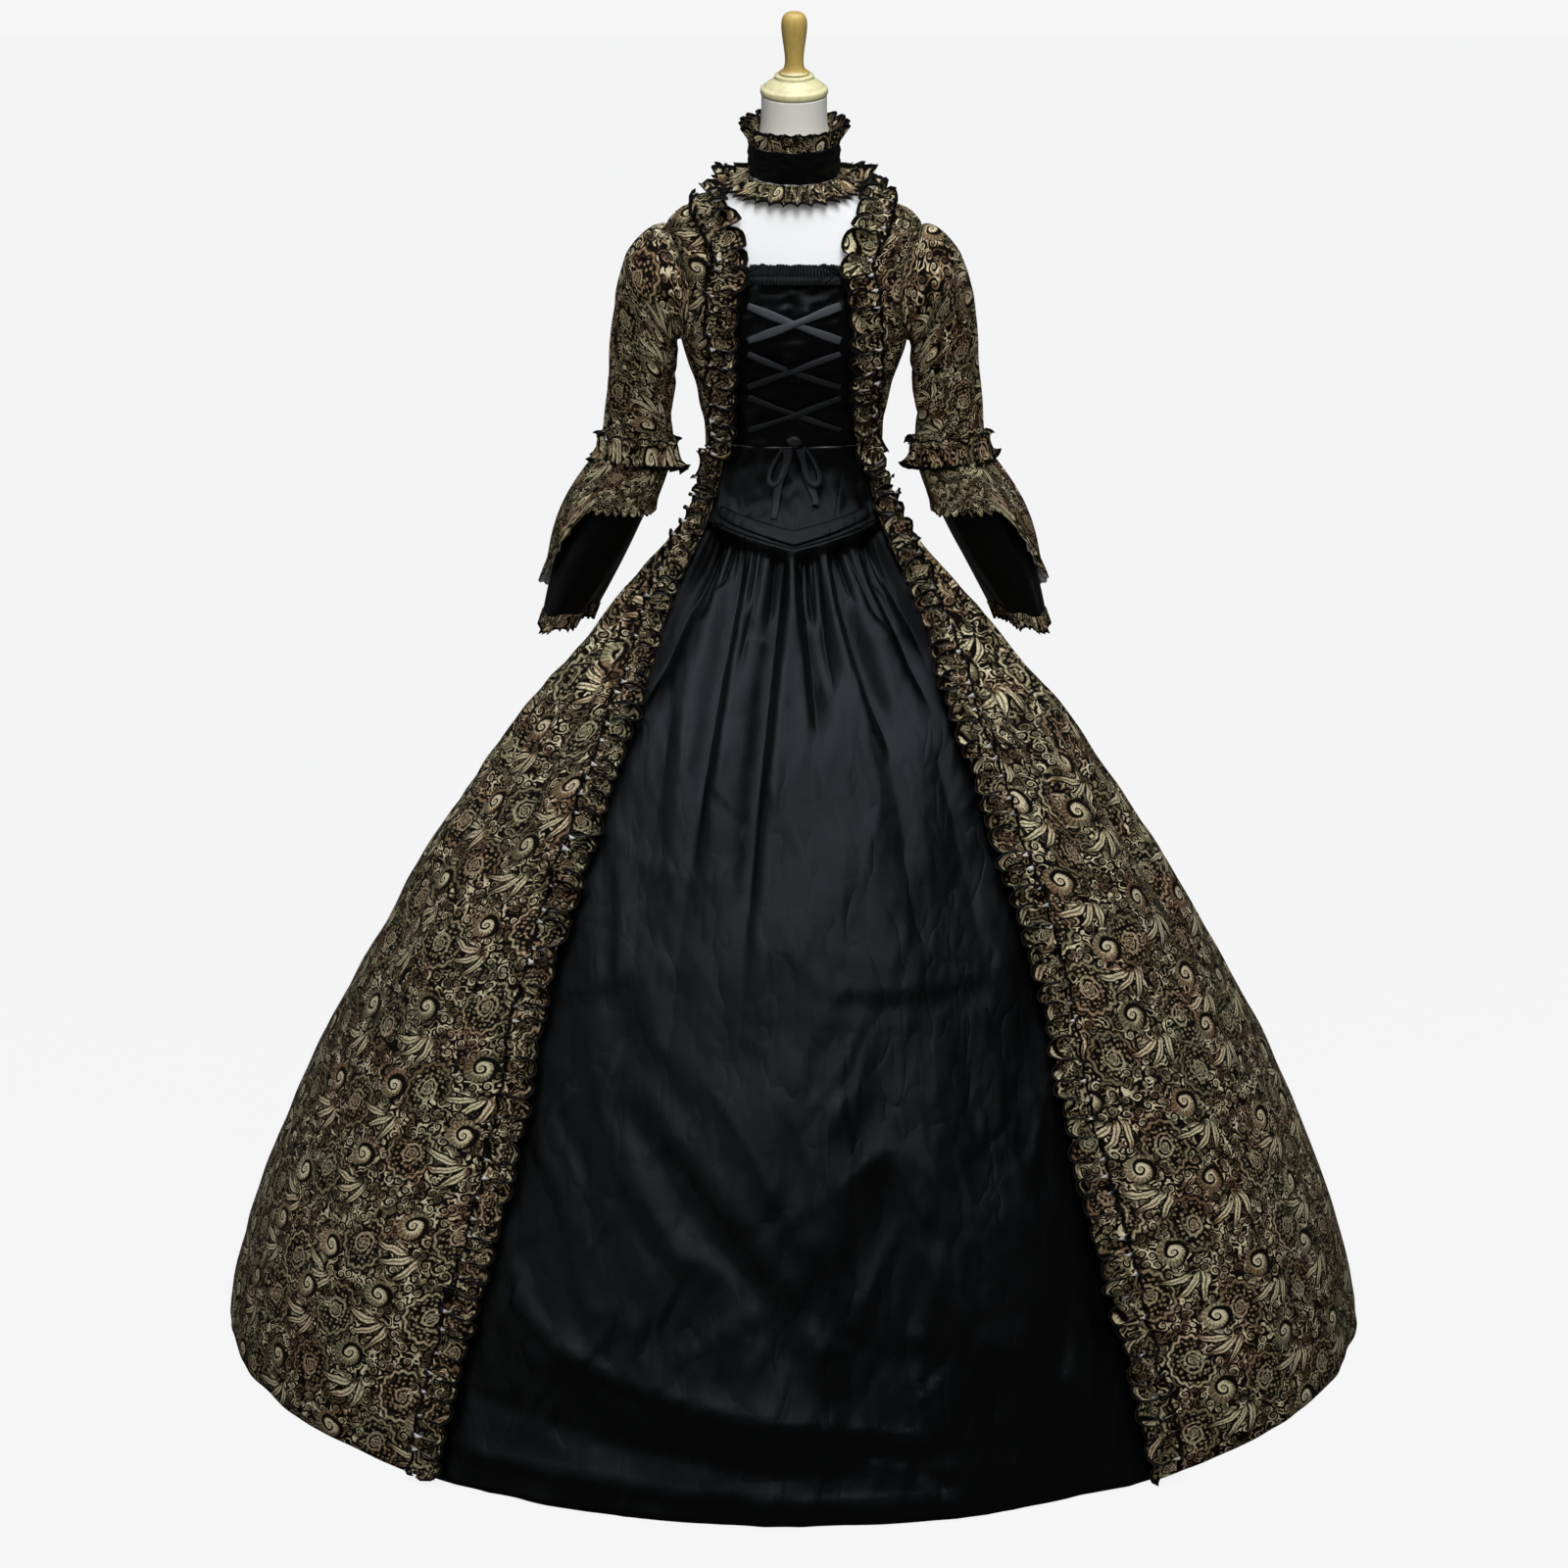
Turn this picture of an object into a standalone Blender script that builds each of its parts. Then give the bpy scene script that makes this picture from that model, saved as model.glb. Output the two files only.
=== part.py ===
"""Hooped open-robe ball gown with a ruffled choker, on a limbless dress form.

Metres, +Z up, front towards -Y, so the wearer's left is +X. The origin is on the floor, under the middle
of the hoop. A place on the gown is a height and an azimuth: 0 is the front, 90 degrees the wearer's left
side, 180 the middle of the back. Each piece of cloth is a wall between two faces of one such surface.
"""
import math

import bmesh
import bpy
import numpy as np

COLLECTION = "ball_gown"

WALL = 0.0016
TRIM_WALL = 0.0012
SEAM = 0.0005
RUFFLE_LIFT = 0.0009

HEM = 0.001
WAIST = 1.1265
FRONT_WAIST = 1.139
STOMACHER_TOP_STEP = 3
SHIRRING_WAVES = 7
SHIRRING_WAVE = 0.0009
BINDING_SPAN = (0.06, 0.26)

HALF_TURN = math.pi
QUARTER_TURN = math.pi / 2
FULL_TURN = 2 * math.pi


def table(names, *rows):
    """Columns of a small table by name, one row for each section."""
    return dict(zip(names.split(), np.array(rows, dtype=float).T))


# Outer face of the robe: half width, and depth before and behind the side line
ROBE = table(
    "z half_width front back",
    (0.000, 0.750, 0.750, 0.750),
    (0.040, 0.742, 0.742, 0.742),
    (0.100, 0.726, 0.726, 0.726),
    (0.200, 0.692, 0.692, 0.692),
    (0.300, 0.648, 0.648, 0.648),
    (0.400, 0.601, 0.601, 0.601),
    (0.500, 0.547, 0.547, 0.547),
    (0.600, 0.492, 0.492, 0.492),
    (0.700, 0.429, 0.429, 0.429),
    (0.800, 0.360, 0.360, 0.360),
    (0.900, 0.270, 0.268, 0.268),
    (0.960, 0.220, 0.217, 0.217),
    (1.020, 0.166, 0.160, 0.160),
    (1.080, 0.122, 0.113, 0.113),
    (1.1265, 0.112, 0.098, 0.098),
    (1.160, 0.113, 0.101, 0.098),
    (1.185, 0.1184, 0.106, 0.099),
    (1.210, 0.1238, 0.113, 0.101),
    (1.235, 0.133, 0.121, 0.103),
    (1.265, 0.142, 0.129, 0.105),
    (1.295, 0.147, 0.131, 0.107),
    (1.335, 0.152, 0.124, 0.108),
    (1.365, 0.156, 0.112, 0.107),
    (1.405, 0.160, 0.086, 0.101),
    (1.425, 0.146, 0.070, 0.096),
    (1.437, 0.118, 0.060, 0.091),
    (1.446, 0.094, 0.054, 0.087),
    (1.456, 0.074, 0.052, 0.083),
)

# Inner border of the front ruffles: how far the black shows on each side of the middle
BORDER = table(
    "z reach",
    (0.000, 0.408),
    (0.100, 0.388),
    (0.250, 0.347),
    (0.330, 0.324),
    (0.430, 0.303),
    (0.510, 0.288),
    (0.584, 0.270),
    (0.646, 0.250),
    (0.700, 0.230),
    (0.763, 0.210),
    (0.816, 0.190),
    (0.867, 0.172),
    (0.919, 0.155),
    (0.973, 0.133),
    (1.017, 0.111),
    (1.050, 0.096),
    (1.078, 0.087),
    (1.114, 0.077),
    (1.1265, 0.071),
    (1.160, 0.064),
    (1.250, 0.063),
    (1.330, 0.062),
    (1.365, 0.056),
    (1.385, 0.060),
    (1.430, 0.081),
    (1.446, 0.085),
)
EDGE_TURN = 0.012

# Depth of the soft folds that fall from the gathered waist
OVERSKIRT_FOLDS = table(
    "z depth",
    (0.000, 0.000),
    (0.300, 0.000),
    (0.500, 0.005),
    (0.700, 0.011),
    (0.850, 0.013),
    (0.960, 0.010),
    (1.050, 0.004),
    (1.1265, 0.000),
)
UNDERSKIRT_FOLDS = table(
    "z depth",
    (0.000, 0.000),
    (0.450, 0.000),
    (0.650, 0.004),
    (0.800, 0.009),
    (0.930, 0.011),
    (1.000, 0.007),
    (1.060, 0.004),
)
SIDE_FOLDS = 5
BACK_FOLDS = 3
UNDERSKIRT_FOLD_COUNT = 8
COLUMNS_PER_FOLD = 4
SIDE_BACK_SEAM = math.radians(120)
OVERSKIRT_ROWS = (HEM, 0.10, 0.28, 0.47, 0.65, 0.80, 0.90, 0.97, 1.03, 1.08, WAIST - SEAM / 2)

# Front point of the basque, its height at the sides, and the black skirt gathered under it
BASQUE_POINT = 1.021
BASQUE_SIDE = 1.050
UNDERSKIRT_INSET = 0.006
UNDERSKIRT_HEM = 0.0025
UNDERSKIRT_LAP = math.radians(3)
UNDERSKIRT_STEPS = (0.0, 0.035, 0.085, 0.15, 0.24, 0.36, 0.52, 0.72, 0.9, 1.0)

# Armhole: an oval round the side line
ARMHOLE_HEIGHT = 1.335
ARMHOLE_HALF_HEIGHT = 0.070
ARMHOLE_HALF_TURN = math.radians(30)
SLEEVE_COLUMNS = 16
ARMHOLE_ROWS = tuple(
    ARMHOLE_HEIGHT - ARMHOLE_HALF_HEIGHT * math.cos(step * FULL_TURN / SLEEVE_COLUMNS)
    for step in range(SLEEVE_COLUMNS // 2 + 1)
)
BODICE_ROWS = (WAIST + SEAM / 2, FRONT_WAIST, 1.16, 1.185, 1.21, 1.235) + ARMHOLE_ROWS + (1.425, 1.435, 1.443)
BACK_NECK = 1.452

# Sleeve sections down the arm: outer and inner point, middle and half of the depth
SLEEVE = table(
    "along outer_x outer_z inner_x inner_z middle_y half_depth",
    (0.00, 0.1620, 1.407, 0.1430, 1.266, 0.000, 0.060),
    (0.08, 0.1860, 1.402, 0.1455, 1.263, 0.002, 0.062),
    (0.20, 0.2080, 1.374, 0.1470, 1.256, 0.006, 0.061),
    (0.35, 0.2210, 1.333, 0.1480, 1.238, 0.012, 0.057),
    (0.50, 0.2300, 1.285, 0.1500, 1.213, 0.018, 0.052),
    (0.65, 0.2345, 1.235, 0.1530, 1.185, 0.026, 0.048),
    (0.80, 0.2390, 1.185, 0.1555, 1.155, 0.034, 0.045),
    (0.95, 0.2450, 1.137, 0.1545, 1.126, 0.042, 0.043),
    (1.00, 0.2480, 1.122, 0.1540, 1.117, 0.044, 0.043),
    (1.08, 0.2540, 1.098, 0.1550, 1.102, 0.048, 0.043),
)
SLEEVE_STEPS = (0.0, 0.07, 0.16, 0.28, 0.44, 0.62, 0.8, 1.0)
SLEEVE_HEAD = 0.22

# Flounces: the flattened hem ring lies against the skirt, a little behind the side line
FLOUNCE_SEAM = 0.0009
FLOUNCE_HEM_Z = 0.886
FLOUNCE_HEM_RADIUS = 0.315
FLOUNCE_HEM_HALF_RADIUS = 0.030
FLOUNCE_HEM_TURN = math.radians(105.5)
FLOUNCE_HEM_HALF_TURN = math.radians(14.5)
FLOUNCE_FOLDS = 5
FLOUNCE_WAVE = 0.005
FLOUNCE_TRIM_START = 0.92
FLOUNCE_BOW = 0.012
INNER_FLOUNCE_LIFT = -0.0024
OUTER_FLOUNCE_SHORT = 1.045
OUTER_FLOUNCE_DROP = 0.112
OUTER_FLOUNCE_LONG_AT = math.radians(25)

# Gathered trims
FRONT_RUFFLE_WIDTH = 0.048
FRONT_RUFFLE_WAVE = 0.007
SKIRT_RUFFLE_WAVES = 28
BODICE_RUFFLE_WAVES = 10
RUFFLE_COLUMNS = 3
COLLAR_BASE = 1.447
COLLAR_HEIGHT = 0.032
COLLAR_FLARE = 0.014
COLLAR_WAVES = 8
COLLAR_WAVE = 0.006
COLLAR_ENDS = (math.radians(86), math.radians(274))
HEADING_WAVES = 8
HEADING_LIFT = 0.0022
HEADING = table(
    "along stand",
    (0.990, 0.008),
    (0.945, 0.000),
    (0.890, 0.010),
)

# Neck of the form and the choker round it, on an axis that leans to the front
NECK_BASE = (0.0, 0.012, 1.435)
NECK_LENGTH = 0.135
NECK_LEAN = math.radians(14)
NECK = table(
    "along half_width half_depth lean",
    (0.02, 0.1020, 0.0620, 0.25),
    (0.08, 0.0800, 0.0600, 0.60),
    (0.16, 0.0640, 0.0580, 0.85),
    (0.28, 0.0554, 0.0554, 1.00),
    (0.45, 0.0490, 0.0490, 1.00),
    (0.60, 0.0440, 0.0440, 1.00),
    (0.80, 0.0410, 0.0410, 1.00),
    (1.00, 0.0405, 0.0405, 1.00),
)
CHOKER_BAND = table(
    "along radius wave",
    (0.280, 0.0575, 0.0000),
    (0.420, 0.0575, 0.0000),
    (0.570, 0.0575, 0.0000),
)
CHOKER_TOP = table(
    "along radius wave",
    (0.574, 0.0575, 0.0000),
    (0.660, 0.0615, 0.0021),
    (0.750, 0.0660, 0.0035),
)
CHOKER_BOTTOM = table(
    "along radius wave",
    (0.150, 0.08400, 0.00350),
    (0.215, 0.07375, 0.00245),
    (0.276, 0.05750, 0.00035),
)
CHOKER_TOP_WAVES = 14
CHOKER_PLEATS = 18

# Dress form under the gown
FORM_COLUMNS = 24
FORM_CLEAR = 0.0040
FORM_SEAT = 0.0008
FORM_HIPS = table(
    "z half_width front back",
    (0.880, 0.138, 0.108, 0.113),
    (0.910, 0.150, 0.115, 0.122),
    (0.950, 0.152, 0.116, 0.123),
    (1.000, 0.143, 0.111, 0.117),
    (1.050, 0.122, 0.101, 0.104),
    (1.090, 0.108, 0.094, 0.094),
)
FORM_SHOULDER = 1.430
FORM_BUST_ROWS = (1.265, 1.300, 1.340, 1.375, 1.405, FORM_SHOULDER)
POLE_RADIUS = 0.016
BASE_RADIUS = 0.18
BASE_HEIGHT = 0.018
PIECE_GAP = 0.0003

# Wooden cap and finial, radius against height above the neck's flat top
CAP_PROFILE = (
    (0.0000, 0.0260),
    (0.0230, 0.0250),
    (0.0270, 0.0205),
    (0.0360, 0.0150),
    (0.0420, 0.0090),
    (0.0420, 0.0020),
    (0.0395, 0.0000),
    (0.0000, 0.0000),
)
FINIAL_PROFILE = (
    (0.0000, 0.0760),
    (0.0080, 0.0750),
    (0.0140, 0.0690),
    (0.0160, 0.0600),
    (0.0150, 0.0430),
    (0.0120, 0.0230),
    (0.0115, 0.0120),
    (0.0135, 0.0060),
    (0.0190, 0.0020),
    (0.0190, 0.0000),
    (0.0000, 0.0000),
)
TURNING_STEPS = 16

# Lacing over the stomacher
LACE_CROSSINGS = (1.294, 1.236, 1.181)
LACE_HALF_SPAN = 0.056
LACE_HALF_RISE = 0.021
LACE_WIDTH = 0.0095
LACE_LIFT = 0.0011
LOOP_LIFT = 0.0018
TAIL_LIFT = 0.0036
LACE_HUMP = 0.0026
LACE_STEPS = 8
KNOT_Z = 1.147
KNOT_HALF_DEPTH = 0.004
KNOT_HALF_SIZES = (0.009, KNOT_HALF_DEPTH, 0.007)
LOOP_TOP = 0.006
LOOP_LENGTH = 0.052
LOOP_HALF_WIDTH = 0.014
LOOP_RIBBON = 0.0057
LOOP_START = 0.011
LOOP_SLANT = 0.25
LOOP_COLUMNS = 12
TAIL_TOP = 0.009
TAIL_START = 0.0058
TAIL_SPREAD = 0.020
TAIL_LENGTHS = (("lace_tail_right", -1, 0.085), ("lace_tail_left", 1, 0.070))

BROCADE = ("brocade", (0.30, 0.27, 0.19), 0.55, 0.15)
SATIN = ("black_satin", (0.012, 0.013, 0.016), 0.38, 0.0)
RIBBON = ("black_ribbon", (0.016, 0.018, 0.022), 0.35, 0.0)
FORM_CLOTH = ("white_jersey", (0.86, 0.85, 0.85), 0.85, 0.0)
WOOD = ("pale_wood", (0.80, 0.66, 0.38), 0.5, 0.0)
STEEL = ("painted_steel", (0.75, 0.75, 0.74), 0.4, 0.5)


def curve(columns, name, at):
    """A column of a table at any height, on a smooth curve that doesn't overshoot its rows."""
    keys = columns[next(iter(columns))]
    values = columns[name]
    at = np.clip(at, keys[0], keys[-1])
    gaps = np.diff(keys)
    slopes = np.diff(values) / gaps
    tangents = np.zeros(len(keys))
    tangents[0] = slopes[0]
    tangents[-1] = slopes[-1]
    steady = slopes[:-1] * slopes[1:] > 0
    product = slopes[:-1] * slopes[1:]
    total = np.where(steady, slopes[:-1] + slopes[1:], 1.0)
    tangents[1:-1] = np.where(steady, 2 * product / total, 0.0)
    row = np.clip(np.searchsorted(keys, at, side="right") - 1, 0, len(keys) - 2)
    gap = gaps[row]
    t = (at - keys[row]) / gap
    low = values[row] * (1 + 2 * t) * (1 - t) ** 2 + tangents[row] * gap * t * (1 - t) ** 2
    high = values[row + 1] * t ** 2 * (3 - 2 * t) - tangents[row + 1] * gap * t ** 2 * (1 - t)
    return low + high


def ease(t):
    """Smooth step from 0 to 1."""
    t = np.clip(t, 0.0, 1.0)
    return t * t * (3 - 2 * t)


def robe_face(z, turn):
    """Outer face of the robe at a height and an azimuth."""
    z, turn = np.broadcast_arrays(np.asarray(z, float), np.asarray(turn, float))
    depth = np.where(np.cos(turn) > 0, curve(ROBE, "front", z), curve(ROBE, "back", z))
    x = curve(ROBE, "half_width", z) * np.sin(turn)
    return np.stack([x, -depth * np.cos(turn), z], axis=-1)


def raised(face, a, b, lift, downward=False):
    """Points of a face moved out along its normal; downward says that its first direction runs down."""
    step = 1e-4
    across = face(a, b + step) - face(a, b - step)
    along = face(a + step, b) - face(a - step, b)
    normal = np.cross(across, along)
    normal /= np.linalg.norm(normal, axis=-1, keepdims=True) * (-1 if downward else 1)
    lift = np.asarray(lift, float)
    return face(a, b) + normal * lift[..., None]


def robe(z, turn, lift=0.0):
    """Point of the robe, moved out by a lift."""
    z, turn, lift = np.broadcast_arrays(np.asarray(z, float), np.asarray(turn, float), lift)
    return raised(robe_face, z, turn, lift)


def robe_on_rows(rows, z, turn, lift):
    """Point over a panel that is straight between its rows, so that a trim follows the panel's own faces."""
    rows = np.array(rows)
    z = np.asarray(z, float)
    row = np.clip(np.searchsorted(rows, z, side="right") - 1, 0, len(rows) - 2)
    share = ((z - rows[row]) / (rows[row + 1] - rows[row]))[..., None]
    return robe(rows[row], turn, lift) * (1 - share) + robe(rows[row + 1], turn, lift) * share


def turn_at(z, reach):
    """Azimuth at which the robe lies a given distance to the side of the middle."""
    return np.arcsin(np.clip(reach / curve(ROBE, "half_width", z), -0.998, 0.998))


def front_edge(z):
    """Azimuth of the robe's front edge."""
    return turn_at(z, curve(BORDER, "reach", z) + EDGE_TURN)


def front_edge_on_rows(z):
    """Azimuth of the robe's front edge as its panels have it, straight between their rows."""
    rows = np.array(OVERSKIRT_ROWS + BODICE_ROWS)
    return np.interp(z, rows, front_edge(rows))


def material(finish):
    name, color, roughness, metallic = finish
    found = bpy.data.materials.get(name)
    if found:
        return found
    made = bpy.data.materials.new(name)
    made.use_nodes = True
    shader = made.node_tree.nodes["Principled BSDF"]
    shader.inputs["Base Color"].default_value = (*color, 1.0)
    shader.inputs["Roughness"].default_value = roughness
    shader.inputs["Metallic"].default_value = metallic
    return made


def place(name, mesh, finish):
    """Object of a mesh, in the gown's collection, with its finish."""
    mesh.materials.append(material(finish))
    mesh.shade_smooth()
    made = bpy.data.objects.new(name, mesh)
    bpy.data.collections[COLLECTION].objects.link(made)
    return made


def grid_faces(rows, columns, start, closed, flip):
    """Triangles over a grid of points, the last column joined to the first where the grid is closed."""
    faces = []
    for row in range(rows - 1):
        for column in range(columns if closed else columns - 1):
            nearby = (column + 1) % columns
            a = start + row * columns + column
            b = start + row * columns + nearby
            c = start + (row + 1) * columns + nearby
            d = start + (row + 1) * columns + column
            pair = [(a, b, c), (a, c, d)]
            faces += [face[::-1] for face in pair] if flip else pair
    return faces


def cloth(name, outer, inner, finish, closed=False, flip=False):
    """Wall of cloth between an outer and an inner grid of points, closed along its edges."""
    rows, columns = outer.shape[:2]
    count = rows * columns
    faces = grid_faces(rows, columns, 0, closed, flip) + grid_faces(rows, columns, count, closed, not flip)
    border = []
    last = columns if closed else columns - 1
    for column in range(last):
        border.append((column, (column + 1) % columns))
        top = (rows - 1) * columns
        border.append((top + (column + 1) % columns, top + column))
    if not closed:
        for row in range(rows - 1):
            border.append(((row + 1) * columns, row * columns))
            border.append((row * columns + columns - 1, (row + 1) * columns + columns - 1))
    for a, b in border:
        pair = [(b, a, a + count), (b, a + count, b + count)]
        faces += [face[::-1] for face in pair] if flip else pair
    mesh = bpy.data.meshes.new(name)
    points = np.concatenate([outer.reshape(-1, 3), inner.reshape(-1, 3)])
    mesh.from_pydata(points.tolist(), [], faces)
    mesh.validate()
    return place(name, mesh, finish)


def sided(side, points):
    """Points made on the wearer's left, mirrored to the right where the side is -1."""
    return points * np.array([side, 1.0, 1.0])


def both_sides(name, outer, inner, finish, closed=False):
    """The same wall of cloth on the wearer's left and, mirrored, on the right."""
    cloth(name + "_left", outer, inner, finish, closed)
    cloth(name + "_right", sided(-1, outer), sided(-1, inner), finish, closed, flip=True)


def between(start, end, count):
    """Columns from a start to an end that both may change from row to row."""
    share = np.linspace(0.0, 1.0, count + 1)
    return start[:, None] * (1 - share) + end[:, None] * share


def armhole_half_turn(z):
    """Half of the armhole's width at a height, as an angle round the body."""
    share = np.clip((z - ARMHOLE_HEIGHT) / ARMHOLE_HALF_HEIGHT, -1.0, 1.0)
    return ARMHOLE_HALF_TURN * np.sqrt(np.clip(1 - share ** 2, 0.0, 1.0))


def seam_turn(z):
    """Half of a seam's gap, as an angle round the body."""
    return SEAM / 2 / curve(ROBE, "back", z)


def make_bodice():
    """Fronts from the robe's edge to the side and shoulder seams, backs from there to the back's middle."""
    z = np.array(BODICE_ROWS)
    turn = between(front_edge(z), QUARTER_TURN - armhole_half_turn(z) - seam_turn(z), 6)
    heights = z[:, None]
    both_sides("bodice_front", robe(heights, turn), robe(heights, turn, -WALL), BROCADE)
    z = np.array(BODICE_ROWS + (BACK_NECK,))
    turn = between(QUARTER_TURN + armhole_half_turn(z) + seam_turn(z), HALF_TURN - seam_turn(z), 6)
    heights = z[:, None]
    both_sides("bodice_back", robe(heights, turn), robe(heights, turn, -WALL), BROCADE)


def make_stomacher():
    """Black front panel between the robe's edges, with a shirred band along its top."""
    rows = [z for z in BODICE_ROWS if FRONT_WAIST <= z <= ARMHOLE_ROWS[-1 - STOMACHER_TOP_STEP] + SEAM]
    rows[0] += SEAM / 2
    z = np.array(rows)
    edge = front_edge(z) - 2 * seam_turn(z)
    turn = between(-edge, edge, 8)
    heights = z[:, None]
    cloth("stomacher", robe(heights, turn), robe(heights, turn, -WALL), SATIN)
    band_z = np.linspace(rows[-2], rows[-1], 3)
    edge = turn_at(band_z, curve(BORDER, "reach", band_z) - 0.002)
    turn = between(-edge, edge, SHIRRING_WAVES * RUFFLE_COLUMNS)
    wave = SHIRRING_WAVE * (1 - np.cos(FULL_TURN * SHIRRING_WAVES * np.linspace(0, 1, turn.shape[1])))
    lift = RUFFLE_LIFT + TRIM_WALL + wave[None, :] * np.array([[0.6], [1.4], [1.0]])
    band_z = band_z[:, None] + 0 * turn
    outer = robe_on_rows(BODICE_ROWS, band_z, turn, lift)
    inner = robe_on_rows(BODICE_ROWS, band_z, turn, lift - TRIM_WALL)
    cloth("stomacher_band", outer, inner, SATIN)


def basque_edge(share):
    """Height of the basque's pointed lower edge, from 0 at the middle to 1 at the robe's edge."""
    return BASQUE_POINT + (BASQUE_SIDE - BASQUE_POINT) * np.abs(share)


def make_basque():
    """Black panel from the front waist down to a point, with a binding along its lower edge."""
    share = np.linspace(-1.0, 1.0, 11)
    step = np.linspace(0.0, 1.0, 5)[:, None]
    z = basque_edge(share) * (1 - step) + (FRONT_WAIST - SEAM / 2) * step
    turn = share * (front_edge_on_rows(z) - 3 * SEAM / curve(ROBE, "front", z))
    cloth("basque", robe(z, turn), robe(z, turn, -WALL), SATIN)
    binding = np.array(BINDING_SPAN)[:, None]
    z = basque_edge(share) * (1 - binding) + FRONT_WAIST * binding
    turn = share * turn_at(z, curve(BORDER, "reach", z) - 0.001)
    outer = robe(z, turn, RUFFLE_LIFT + TRIM_WALL)
    cloth("basque_binding", outer, robe(z, turn, RUFFLE_LIFT), SATIN)


def make_underskirt():
    """Black satin front of the skirt, gathered under the basque and lapped by the robe's edges."""
    columns = UNDERSKIRT_FOLD_COUNT * RUFFLE_COLUMNS
    share = np.linspace(-1.0, 1.0, columns + 1)
    step = np.array(UNDERSKIRT_STEPS)[::-1, None]
    side = front_edge(BASQUE_SIDE)
    top = basque_edge(share * (side + UNDERSKIRT_LAP) / side) - SEAM
    z = top * (1 - step) + UNDERSKIRT_HEM * step
    turn = share * (front_edge(z) + UNDERSKIRT_LAP)
    wave = (1 - np.cos(HALF_TURN * UNDERSKIRT_FOLD_COUNT * (share + 1))) / 2
    fold = curve(UNDERSKIRT_FOLDS, "depth", z) * wave
    inset = UNDERSKIRT_INSET * np.maximum(ease(step / 0.13), ease((np.abs(share) - 0.72) / 0.12))
    outer = robe(z, turn, -inset - fold)
    inner = robe(z, turn, -inset - fold - WALL)
    cloth("underskirt_front", outer, inner, SATIN)


def overskirt_panel(start, end, folds, front_taper):
    """Brocade panel from waist to hem between two azimuths, with folds that die out below the hips."""
    z = np.array(OVERSKIRT_ROWS)
    turn = between(start(z), end(z), folds * COLUMNS_PER_FOLD)
    share = np.linspace(0.0, 1.0, turn.shape[1])
    wave = (1 - np.cos(FULL_TURN * folds * share)) / 2
    if front_taper:
        wave = wave * ease(share / 0.2)
    fold = curve(OVERSKIRT_FOLDS, "depth", z)[:, None] * wave
    heights = z[:, None]
    return robe(heights, turn, -fold), robe(heights, turn, -fold - WALL)


def make_overskirt():
    """Open brocade skirt: a panel on each side from the front edge to the side-back seam, and two behind."""
    outer, inner = overskirt_panel(front_edge, lambda z: SIDE_BACK_SEAM - seam_turn(z), SIDE_FOLDS, True)
    both_sides("overskirt", outer, inner, BROCADE)
    outer, inner = overskirt_panel(
        lambda z: SIDE_BACK_SEAM + seam_turn(z), lambda z: HALF_TURN - seam_turn(z), BACK_FOLDS, False)
    both_sides("overskirt_back", outer, inner, BROCADE)


def ruffle_heights(rows, low, high, waves):
    """Heights at even steps along the front edge, so that each gather has the same length."""
    z = np.linspace(low, high, 600)
    points = robe_on_rows(rows, z, front_edge(z), 0.0)
    travelled = np.concatenate([[0.0], np.cumsum(np.linalg.norm(np.diff(points, axis=0), axis=1))])
    return np.interp(np.linspace(0, travelled[-1], waves * RUFFLE_COLUMNS + 1), travelled, z)


def front_ruffle(name, rows, low, high, waves):
    """Gathered strip stitched along its middle over the robe's front edge, wavy along both borders."""
    z = ruffle_heights(rows, low, high, waves)
    middle = curve(BORDER, "reach", z) + FRONT_RUFFLE_WIDTH / 2
    across = np.array([-0.5, 0.0, 0.5]) * FRONT_RUFFLE_WIDTH
    width = curve(ROBE, "half_width", z)[:, None]
    turn = np.minimum(turn_at(z, middle)[:, None] + across / width, QUARTER_TURN - 0.02 + across * 0.1)
    phase = FULL_TURN * np.arange(len(z)) / RUFFLE_COLUMNS
    wave = np.stack([1 + np.cos(phase), 0.25 * (1 + np.cos(phase)), 1 + np.cos(phase + 0.9)], axis=1) / 2
    lift = RUFFLE_LIFT + FRONT_RUFFLE_WAVE * wave
    outer = robe_on_rows(rows, z[:, None] + 0 * turn, turn, lift + TRIM_WALL)
    inner = robe_on_rows(rows, z[:, None] + 0 * turn, turn, lift)
    both_sides(name, outer, inner, BROCADE)


def make_front_ruffles():
    front_ruffle("ruffle_bodice", BODICE_ROWS, WAIST + 0.001, BODICE_ROWS[-1], BODICE_RUFFLE_WAVES)
    front_ruffle("ruffle_skirt", OVERSKIRT_ROWS, HEM + 0.004, WAIST - 0.001, SKIRT_RUFFLE_WAVES)


def make_collar():
    """Ruffle that stands round the back of the neck, from shoulder to shoulder."""
    columns = COLLAR_WAVES * RUFFLE_COLUMNS
    turn = np.linspace(*COLLAR_ENDS, columns + 1)[None, :]
    step = np.array([0.0, 0.5, 1.0])[:, None]
    wave = COLLAR_WAVE * step * np.cos(FULL_TURN * COLLAR_WAVES * np.linspace(0, 1, columns + 1))[None, :]
    outward = np.stack([np.sin(turn), -np.cos(turn), 0 * turn], axis=-1)
    base = robe(COLLAR_BASE, turn, RUFFLE_LIFT)
    flare = (COLLAR_FLARE * step ** 1.5 + wave)[..., None]
    rise = (COLLAR_HEIGHT * step + 0.15 * wave)[..., None] * np.array([0.0, 0.0, 1.0])
    inner = base + outward * flare + rise
    cloth("collar_ruffle", inner + outward * TRIM_WALL, inner, BROCADE)


def armhole_ring(turn):
    """Outline of the armhole; the turn goes from the shoulder over the back and under the arm."""
    z = ARMHOLE_HEIGHT + ARMHOLE_HALF_HEIGHT * np.cos(turn)
    return robe(z, QUARTER_TURN + ARMHOLE_HALF_TURN * np.sin(turn), SEAM)


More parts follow.
